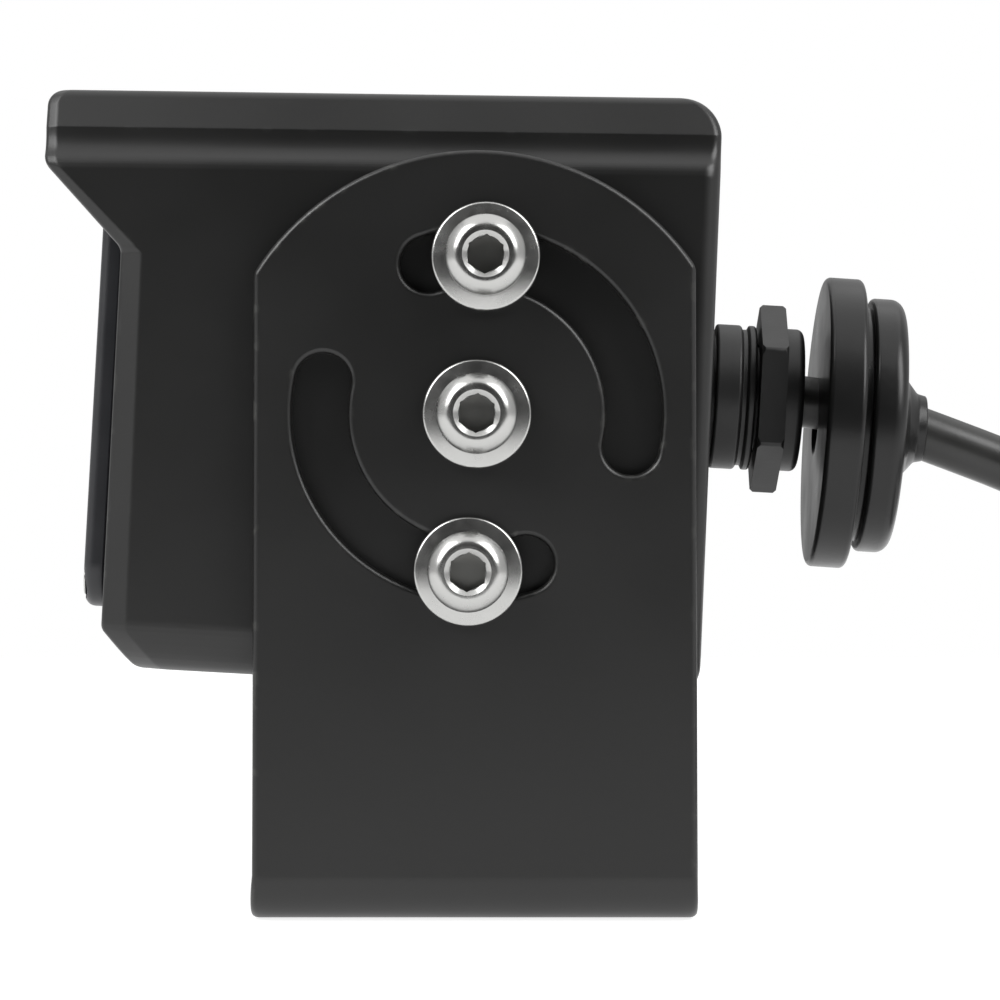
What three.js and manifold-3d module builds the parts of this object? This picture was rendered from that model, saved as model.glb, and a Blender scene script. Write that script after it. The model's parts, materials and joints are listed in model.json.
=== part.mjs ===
// Heavy-duty backup camera for trucks and trailers, on a U bracket, with its cable.
// Millimetres, +Z up. The bracket stands on z = 0; the lens looks along -X, the cable leaves along +X.
// The camera head is drawn level about the tilt axis, then turned nose up to its rest angle.
import * as THREE from "three";
import { mergeVertices } from "three/addons/utils/BufferGeometryUtils.js";
import Module from "manifold-3d";

// ---- Driving dimensions ----
const GAP = 0.3; // clearance between neighbouring pieces
const PIVOT_Z = 44.2; // tilt axis above the mounting face
const REST_TILT = 3.2; // degrees nose up

const BRACKET_HALF = 38; // outer face of an arm from the middle plane
const ARM_THICK = 2;
const ARM_HALF = 19.4; // half of an arm's width
const ARM_ARC = 23; // rounded end of an arm, about the tilt axis
const BEND_RADIUS = 4;
const CLAMP_RADIUS = 13.7; // clamp screws and arc slots, about the tilt axis
const SLOT_WIDTH = 4.9;
const SLOT_HIGH = 108; // degrees about the tilt axis, from the rear, towards the top
const SLOT_LOW = -12;
const BASE_HOLE = 5;
const BASE_HOLE_X = 11;
const BASE_HOLE_Y = 25;
const PIVOT_HOLE = 4.8;

const BODY_HALF = 35.7; // side wall of the housing
const WALL = 2.5;
const FRONT_X = -32.1; // front wall, below the hood
const HOOD_X = -39.2; // front edge of the hood
const REAR_X = 20.5;
const BOTTOM_Z = -24.05;
const HOOD_LOW_Z = 20; // where the hood's front edge ends and its slanted edge starts
const SLANT_Z = 12.9; // where the slanted edge meets the front wall
const ROOF_X = 17.2; // rear end of the flat roof
const ROOF_Z = 29.15; // roof height there
const ROOF_SLOPE = 2.43; // degrees, falling towards the front
const HOOD_INNER_HALF = 33.1; // inner faces of the hood's sides
const MOUTH_HALF = 24.6; // opening of the front wall
const MOUTH_LOW = -13;
const MOUTH_TOP = 14.3;
const BOSS_RADIUS = 4.2;
const BOSS_INNER = 26.5; // inner end of a screw boss, from the middle plane
const TAPPED_RADIUS = 2.25;
const POST_RADIUS = 2.6;
const POST_Y = 14; // board posts and standoffs
const POST_Z = 14;
const POST_MID_Z = 1;

const WINDOW_HALF = 30.5; // window frame outline
const WINDOW_LOW = -18.9;
const WINDOW_TOP = 20.2;
const FRAME_X = -34.3; // front face of the window frame
const FRAME_RAIL = 4.5;
const LENS_Z = 0.8;
const SCREW_INSET = 2.6; // frame screws, in from the frame's edges

const AXIS_Z = 3.9; // gland and cable, above the tilt axis
const CABLE_RADIUS = 2.5;
const GROMMET = [32.63, 0, PIVOT_Z + 0.14]; // middle of its front face
const GROMMET_TILT = 3.8; // degrees, as the cable sinks
const COIL = new THREE.Vector3(92, 8, 0);
const COIL_RADIUS = 27.5; // middle of the turns
const COIL_TURNS = 2;
const COIL_LIFT = 1.3; // the tie lies under the turns
const PLUG = new THREE.Vector3(131, 8, 7.3); // cable end of the connector

const wasm = await Module();
wasm.setup();

// ---- Solids and meshes ----
function solid(geometry) {
  const bare = geometry.clone();
  bare.deleteAttribute("normal");
  bare.deleteAttribute("uv");
  const merged = mergeVertices(bare, 1e-4);
  return new wasm.Manifold(
    new wasm.Mesh({
      numProp: 3,
      vertProperties: merged.attributes.position.array,
      triVerts: new Uint32Array(merged.index.array),
    }),
  );
}

function cut(body, ...tools) {
  return tools.reduce((rest, tool) => rest.subtract(tool), body);
}

function join(...bodies) {
  return bodies.reduce((whole, body) => whole.add(body));
}

function geometryOf(body) {
  const made = body.getMesh();
  const geometry = new THREE.BufferGeometry();
  geometry.setAttribute("position", new THREE.BufferAttribute(made.vertProperties, 3));
  geometry.setIndex(new THREE.BufferAttribute(made.triVerts, 1));
  geometry.computeVertexNormals();
  return geometry;
}

function addMesh(group, name, body, material) {
  const mesh = new THREE.Mesh(geometryOf(body), material);
  mesh.name = name;
  group.add(mesh);
}

// ---- Outlines ----
const degrees = THREE.MathUtils.degToRad;
const ORIGIN = new THREE.Vector2();

// A closed outline from corners [x, y, radius]; each corner is rounded by an arc of that radius.
function outline(corners, steps = 3) {
  const points = [];
  corners.forEach(([x, y, radius = 0], i) => {
    const corner = new THREE.Vector2(x, y);
    const before = corners.at(i - 1);
    const after = corners[(i + 1) % corners.length];
    const back = new THREE.Vector2(before[0] - x, before[1] - y).normalize();
    const on = new THREE.Vector2(after[0] - x, after[1] - y).normalize();
    if (!radius) {
      points.push(corner);
      return;
    }
    const half = Math.acos(THREE.MathUtils.clamp(back.dot(on), -1, 1)) / 2;
    const centre = back.clone().add(on).setLength(radius / Math.sin(half)).add(corner);
    const start = corner.clone().addScaledVector(back, radius / Math.tan(half)).sub(centre);
    const turn = Math.PI - 2 * half;
    const side = Math.sign(back.cross(on)) || 1;
    for (let k = 0; k <= steps; k++)
      points.push(start.clone().rotateAround(ORIGIN, (-side * turn * k) / steps).add(centre));
  });
  return new THREE.Shape(points);
}

function rectangle(x0, y0, x1, y1, radius = 0) {
  return outline([[x0, y0, radius], [x1, y0, radius], [x1, y1, radius], [x0, y1, radius]]);
}

function disc(radius, x = 0, y = 0) {
  return new THREE.Shape().absarc(x, y, radius, 0, 2 * Math.PI);
}

function hexagon(flats, turn = 0) {
  const reach = flats / 2 / Math.cos(Math.PI / 6);
  const corners = Array.from({ length: 6 }, (_, i) => {
    const angle = turn + (i * Math.PI) / 3;
    return new THREE.Vector2(reach * Math.cos(angle), reach * Math.sin(angle));
  });
  return new THREE.Shape(corners);
}

// ---- Extrusions and turnings ----
function extrude(shape, depth, segments) {
  return new THREE.ExtrudeGeometry(shape, { depth, bevelEnabled: false, curveSegments: segments });
}

// The outline's x and y become the object's x and z.
function alongY(shape, y0, y1, segments = 8) {
  const made = extrude(shape, y1 - y0, segments);
  return solid(made.rotateX(Math.PI / 2).translate(0, y1, 0));
}

// The outline's x and y become the object's y and z.
function alongX(shape, x0, x1, segments = 8) {
  const axes = new THREE.Matrix4().makeBasis(
    new THREE.Vector3(0, 1, 0),
    new THREE.Vector3(0, 0, 1),
    new THREE.Vector3(1, 0, 0),
  );
  const made = extrude(shape, x1 - x0, segments);
  return solid(made.applyMatrix4(axes).translate(x0, 0, 0));
}

function alongZ(shape, z0, z1, segments = 8) {
  return solid(extrude(shape, z1 - z0, segments).translate(0, 0, z0));
}

// A turned piece from [radius, distance] pairs, with its axis along X, Y or Z.
function turned(profile, axis, segments = 16) {
  const points = profile.map(([r, d]) => new THREE.Vector2(r, d));
  const made = new THREE.LatheGeometry(points, segments);
  if (axis === "x") made.rotateZ(-Math.PI / 2);
  if (axis === "z") made.rotateX(Math.PI / 2);
  return solid(made);
}

// A plain rod between two distances on an axis.
function rod(radius, from, to, axis, segments = 12) {
  return turned([[0, from], [radius, from], [radius, to], [0, to]], axis, segments);
}

// A tube wall, closed on itself.
function ring(inner, outer, from, to, axis, segments = 16) {
  const wall = [[inner, from], [outer, from], [outer, to], [inner, to], [inner, from]];
  return turned(wall, axis, segments);
}

// A round tube of that radius along a curve.
function tube(curve, radius, steps, sides = 8) {
  const section = new THREE.Shape(
    Array.from({ length: sides }, (_, i) => {
      const angle = (2 * Math.PI * i) / sides;
      return new THREE.Vector2(radius * Math.cos(angle), radius * Math.sin(angle));
    }),
  );
  return solid(new THREE.ExtrudeGeometry(section, { steps, bevelEnabled: false, extrudePath: curve }));
}

// ---- Materials ----
function paint(color, roughness, metalness) {
  return new THREE.MeshStandardMaterial({ color, roughness, metalness });
}

const SATIN_BLACK = paint(0x1b1b1a, 0.45, 0.1);
const BRACKET_BLACK = paint(0x262625, 0.5, 0.1);
const STAINLESS = paint(0xb9b8b4, 0.28, 1);
const BLACK_NYLON = paint(0x161616, 0.5, 0);
const BLACK_RUBBER = paint(0x141414, 0.4, 0);
const CABLE_BLACK = paint(0x171717, 0.42, 0);
const SMOKED = paint(0x0b0d12, 0.08, 0);
const LENS_BLACK = paint(0x101012, 0.35, 0.2);
const LENS_GLASS = paint(0x1a2230, 0.03, 0);
const LED_CLEAR = paint(0x8c8a94, 0.12, 0);
const BOARD_GREEN = paint(0x1e4a30, 0.5, 0);
const CHIP_BLACK = paint(0x1a1a1c, 0.4, 0);
const BRASS = paint(0xb08d4f, 0.35, 1);
const NICKEL = paint(0xa9a7a0, 0.3, 1);

// ---- Bracket ----
function bracketPlate() {
  const outer = [
    [-BRACKET_HALF, 0, BEND_RADIUS],
    [BRACKET_HALF, 0, BEND_RADIUS],
    [BRACKET_HALF, 80],
    [BRACKET_HALF - ARM_THICK, 80],
    [BRACKET_HALF - ARM_THICK, ARM_THICK, BEND_RADIUS - ARM_THICK],
    [ARM_THICK - BRACKET_HALF, ARM_THICK, BEND_RADIUS - ARM_THICK],
    [ARM_THICK - BRACKET_HALF, 80],
    [-BRACKET_HALF, 80],
  ];
  return alongX(outline(outer), -ARM_HALF, ARM_HALF);
}

function armOutline() {
  const shape = new THREE.Shape();
  const shoulder = Math.acos(ARM_HALF / ARM_ARC);
  shape.moveTo(-ARM_HALF, -1);
  shape.lineTo(ARM_HALF, -1);
  shape.absarc(0, PIVOT_Z, ARM_ARC, shoulder, Math.PI - shoulder, false);
  return shape;
}

// An arc slot with round ends, between two angles about the tilt axis.
function arcSlot(from, to) {
  const [a, b] = [degrees(from), degrees(to)];
  const half = SLOT_WIDTH / 2;
  const end = (angle) => [CLAMP_RADIUS * Math.cos(angle), PIVOT_Z + CLAMP_RADIUS * Math.sin(angle)];
  const shape = new THREE.Shape();
  shape.absarc(0, PIVOT_Z, CLAMP_RADIUS + half, a, b, false);
  shape.absarc(...end(b), half, b, b + Math.PI, false);
  shape.absarc(0, PIVOT_Z, CLAMP_RADIUS - half, b, a, true);
  shape.absarc(...end(a), half, a + Math.PI, a + 2 * Math.PI, false);
  return shape;
}

function makeBracket(group) {
  const reach = BRACKET_HALF + 1;
  const slots = [0, 180].map((turn) =>
    alongY(arcSlot(SLOT_LOW + turn, SLOT_HIGH + turn), -reach, reach, 7),
  );
  const pivotHole = alongY(disc(PIVOT_HOLE / 2, 0, PIVOT_Z), -reach, reach, 6);
  const baseHoles = [-1, 1].flatMap((sx) =>
    [-1, 1].map((sy) => alongZ(disc(BASE_HOLE / 2, sx * BASE_HOLE_X, sy * BASE_HOLE_Y), -1, 3, 6)),
  );
  const arms = alongY(armOutline(), -reach, reach, 16);
  const plate = bracketPlate().intersect(arms);
  addMesh(group, "u_bracket", cut(plate, ...slots, pivotHole, ...baseHoles), BRACKET_BLACK);
}

// ---- Housing ----
const slope = Math.tan(degrees(ROOF_SLOPE));
const roofAt = (x) => ROOF_Z + (x - ROOF_X) * slope;

// The side view: hood, slanted edge, front wall, bottom and rear wall.
function sideView() {
  return outline([
    [HOOD_X, roofAt(HOOD_X), 1.4],
    [HOOD_X, HOOD_LOW_Z, 2],
    [FRONT_X, SLANT_Z, 1.2],
    [FRONT_X + 0.1, BOTTOM_Z, 3.4],
    [REAR_X + 0.4, BOTTOM_Z, 3],
    [REAR_X - 0.4, ROOF_Z - 5.2],
    [REAR_X - 0.6, ROOF_Z - 3.4],
    [REAR_X - 1.5, ROOF_Z - 1.2],
    [ROOF_X, ROOF_Z],
  ]);
}

// The end view, measured from the roof: a chamfered cap over a small neck and a round shoulder.
function endView(half, top, low) {
  const right = [
    [half - 3.2, top, 1.2],
    [half - 1.5, top - 3.5, 0.15],
    [half - 1.4, top - 5.3, 1],
    [half, top - 6.7, 1],
    [half, low, 2.7],
  ];
  const left = right.toReversed().map(([y, z, r]) => [-y, z, r]);
  return outline([...right, ...left]);
}

function planView(half, front, rear) {
  return outline([[front, -half, 2.3], [rear, -half, 3], [rear, half, 3], [front, half, 2.3]]);
}

function housingBlank() {
  const side = alongY(sideView(), -50, 50);
  const roofLine = alongX(endView(BODY_HALF, 0, -80), -70, 50);
  const floorLine = alongX(endView(BODY_HALF, 60, BOTTOM_Z), -70, 50);
  const turnedRoof = roofLine.rotate([0, -ROOF_SLOPE, 0]).translate([ROOF_X, 0, ROOF_Z]);
  const trunk = alongZ(planView(BODY_HALF, FRONT_X, REAR_X + 0.6), -40, 40);
  const hood = alongZ(planView(BODY_HALF, HOOD_X, REAR_X + 0.6), SLANT_Z - 3, 40);
  return side.intersect(turnedRoof).intersect(floorLine).intersect(join(trunk, hood));
}

function makeHousing(group) {
  const inside = BODY_HALF - WALL;
  const hollow = alongX(rectangle(-inside, BOTTOM_Z + WALL, inside, 20.6, 3), FRONT_X + WALL, REAR_X - 2.7);
  const opening = rectangle(-MOUTH_HALF, MOUTH_LOW, MOUTH_HALF, MOUTH_TOP, 2);
  const mouth = alongX(opening, FRONT_X - 1, FRONT_X + WALL + 1);
  const seat = alongX(paneOutline(0, 2.5), FRONT_X - 1, FRONT_X + 1);
  const underHood = alongY(
    outline([
      [HOOD_X - 5, BOTTOM_Z - 5],
      [FRONT_X, BOTTOM_Z - 5],
      [FRONT_X, roofAt(FRONT_X) - WALL - 0.6, 1],
      [HOOD_X - 5, roofAt(HOOD_X - 5) - WALL - 0.6],
    ]),
    -HOOD_INNER_HALF,
    HOOD_INNER_HALF,
  );
  const glandHole = rod(6.4, REAR_X - 5, REAR_X + 5, "x").translate([0, 0, AXIS_Z]);
  const bosses = sideRods(BOSS_RADIUS, BOSS_INNER, BODY_HALF - 1);
  const tapped = sideRods(TAPPED_RADIUS, BOSS_INNER + 0.5, BODY_HALF + 1);
  const posts = corners(POST_Y, POST_Z, POST_MID_Z).map(([y, z]) =>
    rod(POST_RADIUS, -2.2, REAR_X - 2, "x").translate([0, y, z]),
  );
  const ledges = [-1, 1].map((side) => {
    const [y0, y1] = [side * 22, side * (inside + 0.5)].sort((a, b) => a - b);
    return alongX(rectangle(y0, -16, y1, 18), LEDGE_X, LEDGE_X + 2.9);
  });
  const screwHoles = corners(FRAME_SCREW_Y, FRAME_SCREW_Z, FRAME_MID_Z).map(([y, z]) =>
    rod(1.3, FRONT_X - 1, FRONT_X + 1.9, "x").translate([0, y, z]),
  );
  const shell = cut(housingBlank(), underHood, hollow, mouth, seat, ...screwHoles);
  const fitted = join(shell, ...bosses, ...posts, ...ledges);
  addMesh(group, "housing", cut(fitted, ...tapped, glandHole), SATIN_BLACK);
}

// Rods along Y in both side walls, one for each pivot or clamp screw.
function sideRods(radius, inner, outer) {
  return [-1, 1].flatMap((side) =>
    [-1, 0, 1].map((step) => {
      const [from, to] = [side * inner, side * outer].sort((a, b) => a - b);
      return rod(radius, from, to, "y").translate([0, 0, step * CLAMP_RADIUS]);
    }),
  );
}

// Four places at the corners of a rectangle about the middle plane.
function corners(y, z, middle) {
  return [[-y, middle - z], [y, middle - z], [y, middle + z], [-y, middle + z]];
}

// ---- Window ----
const FRAME_MID_Z = (WINDOW_LOW + WINDOW_TOP) / 2;
const FRAME_SCREW_Y = WINDOW_HALF - SCREW_INSET;
const FRAME_SCREW_Z = (WINDOW_TOP - WINDOW_LOW) / 2 - SCREW_INSET;
const COUNTERSINK = [
  [0, -37],
  [2, -37],
  [2, FRAME_X + 0.1],
  [1.3, FRAME_X + 1],
  [1.3, FRONT_X + 1],
  [0, FRONT_X + 1],
];

function makeWindow(group) {
  const back = FRONT_X - GAP;
  const outer = alongX(rectangle(-WINDOW_HALF, WINDOW_LOW, WINDOW_HALF, WINDOW_TOP, 4), FRAME_X, back);
  const rail = FRAME_RAIL;
  const sight = alongX(
    rectangle(rail - WINDOW_HALF, WINDOW_LOW + rail, WINDOW_HALF - rail, WINDOW_TOP - rail, 4),
    FRAME_X - 1,
    back + 1,
  );
  const holes = corners(FRAME_SCREW_Y, FRAME_SCREW_Z, FRAME_MID_Z).map(([y, z]) =>
    turned(COUNTERSINK, "x", 10).translate([0, y, z]),
  );
  const rabbet = alongX(paneOutline(GAP, 2.8), FRAME_X + 0.5, back + 1);
  addMesh(group, "window_frame", cut(outer, sight, rabbet, ...holes), LENS_BLACK);
  addMesh(group, "front_window", alongX(paneOutline(0, 2.5), FRAME_X + 0.8, back), SMOKED);
  const gasket = cut(
    alongX(paneOutline(-GAP, 2.2), FRONT_X, FRONT_X + 1 - GAP),
    alongX(paneOutline(-2, 1.6), FRONT_X - 1, FRONT_X + 2),
  );
  addMesh(group, "window_gasket", gasket, BLACK_RUBBER);
  corners(FRAME_SCREW_Y, FRAME_SCREW_Z, FRAME_MID_Z).forEach(([y, z], i) => {
    const head = turned(
      [[0, FRAME_X], [1.7, FRAME_X], [1, FRAME_X + 0.8], [1, FRONT_X + 1.6], [0, FRONT_X + 1.6]],
      "x",
      10,
    );
    const drive = alongX(hexagon(1.4), FRAME_X - 1, FRAME_X + 0.6);
    addMesh(group, `frame_screw_${i + 1}`, cut(head, drive).translate([0, y, z]), STAINLESS);
  });
}

// The pane's outline, grown by a clearance; its edge lies inside the frame's rail.
function paneOutline(grow, radius) {
  const y = WINDOW_HALF - FRAME_RAIL + 1.3 + grow;
  const low = WINDOW_LOW + FRAME_RAIL - 1.3 - grow;
  const top = WINDOW_TOP - FRAME_RAIL + 1.3 + grow;
  return rectangle(-y, low, y, top, radius);
}

// ---- Optics and electronics ----
const BOARD = 1.2; // thickness of a circuit board
const LED_BOARD_X = -26.5;
const LEDGE_X = LED_BOARD_X + BOARD + 0.4;
const SENSOR_BOARD_X = -14;
const POWER_BOARD_X = -4;

function board(x, halfWidth, low, top) {
  return alongX(rectangle(-halfWidth, low, halfWidth, top, 1), x, x + BOARD);
}

function makeLights(group) {
  const opening = rod(8.4, LED_BOARD_X - 1, LED_BOARD_X + 3, "x").translate([0, 0, LENS_Z]);
  addMesh(group, "led_board", cut(board(LED_BOARD_X, 25, -14.5, 15.5), opening), BOARD_GREEN);
  const front = LED_BOARD_X - GAP;
  let count = 0;
  for (const y of [-20.5, -13.5, 13.5, 20.5])
    for (const row of [-1, 0, 1]) {
      const dome = [[2.4, front - 3.4], [1.8, front - 4.8], [0, front - 5.3]];
      const lamp = turned([...dome.reverse(), [2.8, front - 0.9], [2.8, front], [0, front]], "x", 8);
      count += 1;
      addMesh(group, `ir_led_${count}`, lamp.translate([0, y, LENS_Z + row * 8.4]), LED_CLEAR);
    }
  const cell = rod(2, front - 1.8, front, "x").translate([0, 0, LENS_Z - 12.3]);
  addMesh(group, "light_sensor", cell, BRASS);
}

function makeLens(group) {
  const at = [0, 0, LENS_Z];
  addMesh(group, "lens_shroud", ring(7, 8.1, FRONT_X + 0.3, -22.6, "x").translate(at), BLACK_RUBBER);
  const barrel = [
    [0, -17.5],
    [0, -29.4],
    [4.6, -29.4],
    [5.4, -31.2],
    [6.6, -31.2],
    [6.6, -27.8],
    [6, -27.8],
    [6, -17.5],
    [0, -17.5],
  ];
  addMesh(group, "lens_barrel", turned(barrel, "x").translate(at), LENS_BLACK);
  const glass = [[0, -31.1], [1.8, -30.9], [3.3, -30.3], [4.2, -29.7], [0, -29.7], [0, -31.1]];
  addMesh(group, "lens_front_glass", turned(glass, "x").translate(at), LENS_GLASS);
  const foot = alongX(rectangle(-8, LENS_Z - 8, 8, LENS_Z + 8, 1), -17, SENSOR_BOARD_X - GAP);
  const neck = rod(7.4, -22.2, -16, "x").translate(at);
  const bore = rod(6.3, -23, -17, "x").translate(at);
  const chamber = alongX(rectangle(-6, LENS_Z - 6, 6, LENS_Z + 6), -17.4, SENSOR_BOARD_X);
  addMesh(group, "lens_holder", cut(join(foot, neck), bore, chamber), LENS_BLACK);
}

function makeBoards(group) {
  const chip = rectangle(-4.5, LENS_Z - 4, 4.5, LENS_Z + 4);
  addMesh(group, "image_sensor", alongX(chip, -15.6, SENSOR_BOARD_X - GAP), CHIP_BLACK);
  addMesh(group, "sensor_board", board(SENSOR_BOARD_X, 18, -16, 18), BOARD_GREEN);
  addMesh(group, "power_board", board(POWER_BOARD_X, 18, -16, 18), BOARD_GREEN);
  const span = [SENSOR_BOARD_X + BOARD + GAP, POWER_BOARD_X - GAP];
  corners(POST_Y, POST_Z, POST_MID_Z).forEach(([y, z], i) => {
    const post = alongX(hexagon(4.5), ...span).translate([0, y, z]);
    addMesh(group, `board_standoff_${i + 1}`, post, BRASS);
  });
  const header = cut(
    alongX(rectangle(-5, -2, 5, 4), POWER_BOARD_X + BOARD + GAP, 3.8),
    alongX(rectangle(-4, -1, 4, 3), POWER_BOARD_X + BOARD + 2, 5),
  );
  addMesh(group, "cable_header", header, BLACK_NYLON);
}

// ---- Tilt screws ----
function makeScrews(group) {
  const seat = BRACKET_HALF + GAP;
  const top = seat + 1 + GAP;
  const places = [["pivot", 0], ["upper_clamp", CLAMP_RADIUS], ["lower_clamp", -CLAMP_RADIUS]];
  const washer = [
    [2.3, seat],
    [4.75, seat],
    [4.75, seat + 0.7],
    [4.45, seat + 1],
    [2.3, seat + 1],
    [2.3, seat],
  ];
  const head = [
    [0, 28],
    [1.95, 28],
    [1.95, top],
    [3.5, top],
    [3.5, top + 1.3],
    [3.1, top + 2.1],
    [2.4, top + 2.6],
    [0, top + 2.6],
  ];
  const socket = alongY(hexagon(3, Math.PI / 2), top + 0.8, top + 4);
  for (const [side, turn] of [["right", 0], ["left", 180]])
    for (const [name, z] of places) {
      const screw = cut(turned(head, "y", 16), socket);
      const place = (body) => body.rotate([0, 0, turn]).translate([0, 0, z]);
      addMesh(group, `${name}_screw_${side}`, place(screw), STAINLESS);
      addMesh(group, `${name}_washer_${side}`, place(turned(washer, "y", 20)), STAINLESS);
    }
}

// ---- Cable gland ----
function makeGland(group) {
  const at = [0, 0, AXIS_Z];
  const wall = REAR_X + 0.1;
  const seal = ring(6.3, 7.6, wall + GAP, wall + 1.5, "x").translate(at);
  addMesh(group, "gland_seal_washer", seal, BLACK_RUBBER);
  const body = [
    [3.2, 13.8],
    [5.9, 13.8],
    [5.9, wall + 1.8],
    [7, wall + 1.8],
    [7, wall + 4.2],
    [6.6, wall + 4.4],
    [6.6, wall + 4.8],
    [7, wall + 5],
    [7, wall + 5.7],
    [5, wall + 5.7],
    [5, 27.6],
    [3.2, 27.6],
    [3.2, 13.8],
  ];
  addMesh(group, "gland_body", turned(body, "x", 20).translate(at), BLACK_NYLON);
  const inner = cut(alongX(hexagon(15.5), 14.6, REAR_X - 3), rod(6.2, 13, 20, "x")).translate(at);
  addMesh(group, "gland_locknut", inner, BLACK_NYLON);
  const hex = alongX(hexagon(15.9, Math.PI / 2), 26.6, 29.1);
  const cap = turned([[5.6, 28], [6.9, 28], [6.9, 30.3], [6.2, 30.9], [5.6, 30.9], [5.6, 28]], "x", 20);
  const bore = join(rod(5.3, 26, 28.6, "x"), rod(5, 28, 31.5, "x"));
  const nut = cut(join(hex, cap, rod(5.8, 26.6, 30.9, "x", 20)), bore);
  addMesh(group, "gland_nut", nut.translate(at), BLACK_NYLON);
  addMesh(group, "gland_seal", ring(CABLE_RADIUS + 0.4, 4.6, 27.9, 30.6, "x").translate(at), BLACK_RUBBER);
}

// ---- Cable ----
const RUN_STEPS = 16;
const TAIL_STEPS = 6;

// The free run, from inside the gland to the top of the coil, about the origin of the part.
const RUN = [
  [24.6, 0, 46.72],
  [28, 0, 46.53],
  [31.1, 0, 46.32],
  [34.2, 0, 45.85],
  [37.3, 0, 45.15],
  [40.2, 0, 44.2],
  [43, 0, 43.17],
  [46.8, 0, 41.75],
  [50.6, 0, 40.28],
  [54.4, -0.4, 38.6],
  [58.2, -1.4, 36.45],
  [62, -3.1, 33.7],
  [65.8, -5.3, 30.42],
  [69.6, -7.9, 26.84],
  [73.6, -10.6, 23.27],
  [77.8, -13.3, 20],
  [82.4, -16, 17.2],
  [87.2, -18.3, 15.1],
  [92, -19.5, 14.1],
];

function runCurve() {
  return new THREE.CatmullRomCurve3(RUN.map((p) => new THREE.Vector3(...p)), false, "centripetal");
}

// The tail, from the coil's lowest turn to the connector.
function tailCurve() {
  const start = new THREE.Vector3(COIL.x + 21.4, COIL.y - 27.3, CABLE_RADIUS + COIL_LIFT);
  const points = [
    start,
    start.clone().add(new THREE.Vector3(6.3, 2.1, 0.2)),
    new THREE.Vector3(PLUG.x - 6.4, COIL.y - 18.6, 4.6),
    new THREE.Vector3(PLUG.x - 1.8, COIL.y - 11, 5.8),
    new THREE.Vector3(PLUG.x, PLUG.y - 4.4, PLUG.z - 0.2),
    new THREE.Vector3(PLUG.x, PLUG.y - GAP, PLUG.z),
  ];
  return new THREE.CatmullRomCurve3(points, false, "centripetal");
}

function coilSolid() {
  const low = COIL_LIFT;
  const high = COIL_LIFT + COIL_TURNS * 2 * CABLE_RADIUS;
  const inner = COIL_RADIUS - CABLE_RADIUS;
  const outer = COIL_RADIUS + CABLE_RADIUS;
  const bevel = 1.2;
  const section = [
    [inner + bevel, low],
    [outer - bevel, low],
    [outer, low + bevel],
    [outer, high - bevel],
    [outer - bevel, high],
    [inner + bevel, high],
    [inner, high - bevel],
    [inner, low + bevel],
    [inner + bevel, low],
  ];
  return turned(section, "z", 28).translate(COIL.toArray());
}

function tieSolid() {
  const height = COIL_LIFT + COIL_TURNS * 2 * CABLE_RADIUS + 1.3;
  const [inner, outer] = [COIL_RADIUS - CABLE_RADIUS - 1.3, COIL_RADIUS + CABLE_RADIUS + 1.3];
  const loop = rectangle(inner, 0, outer, height, 1.4);
  loop.holes.push(rectangle(inner + 1, 1, outer - 1, height - 1, 0.6));
  return alongY(loop, -2, 2).rotate([0, 0, 60]).translate(COIL.toArray());
}

function makeCable(group) {
  addMesh(group, "cable", tube(runCurve(), CABLE_RADIUS, RUN_STEPS), CABLE_BLACK);
  addMesh(group, "cable_coil", coilSolid(), CABLE_BLACK);
  addMesh(group, "cable_tail", tube(tailCurve(), CABLE_RADIUS, TAIL_STEPS), CABLE_BLACK);
  addMesh(group, "cable_tie", tieSolid(), BLACK_NYLON);
}

// The panel grommet on the cable: two flanges with a groove between them, and a tapered boot.
function makeGrommet(group) {
  const profile = [
    [0, 0],
    [13.7, 0],
    [14.05, 0.35],
    [14.05, 3.3],
    [13.7, 3.65],
    [11.2, 3.65],
    [11.2, 4.5],
    [12, 4.5],
    [12.3, 4.8],
    [12.3, 6.8],
    [11.5, 7.7],
    [7.5, 7.9],
    [4.9, 8.6],
    [3.5, 9.6],
    [3.3, 10.2],
    [0, 10.2],
  ];
  const blank = turned(profile, "x", 28).rotate([0, GROMMET_TILT, 0]).translate(GROMMET);
  const bore = tube(runCurve(), CABLE_RADIUS + GAP, RUN_STEPS);
  addMesh(group, "cable_grommet", cut(blank, bore), BLACK_RUBBER);
}

// ---- Connector ----
function makeConnector(group) {
  const at = [PLUG.x, 0, PLUG.z];
  const y = PLUG.y;
  const body = [
    [0, y],
    [3.4, y],
    [4, y + 5],
    [5.8, y + 9],
    [6.6, y + 9.6],
    [6.6, y + 17],
    [5.4, y + 17.4],
    [5.4, y + 30],
    [4.7, y + 30],
    [4.7, y + 22],
    [0, y + 22],
  ];
  addMesh(group, "connector_body", turned(body, "y", 20).translate(at), BLACK_NYLON);
  const insert = rod(4.4, y + 22.3, y + 24, "y", 16);
  const pins = [[-1.6, -1.6], [1.6, -1.6], [1.6, 1.6], [-1.6, 1.6]].map(([x, z]) =>
    rod(0.5, y + 23.5, y + 28.6, "y", 6).translate([x, 0, z]),
  );
  addMesh(group, "connector_insert", join(insert, ...pins).translate(at), NICKEL);
  const collar = [
    [5.7, y + 17.7],
    [7, y + 17.7],
    [7, y + 27],
    [6.7, y + 27.3],
    [5.7, y + 27.3],
    [5.7, y + 17.7],
  ];
  addMesh(group, "connector_ring", turned(collar, "y", 20).translate(at), NICKEL);
}

// ---- Assembly ----
const part = new THREE.Group();
makeBracket(part);

const head = new THREE.Group();
head.position.z = PIVOT_Z;
head.rotation.y = degrees(REST_TILT);
part.add(head);
makeHousing(head);
makeWindow(head);
makeLights(head);
makeLens(head);
makeBoards(head);
makeScrews(head);
makeGland(head);

makeCable(part);
makeGrommet(part);
makeConnector(part);

export default part;
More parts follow.
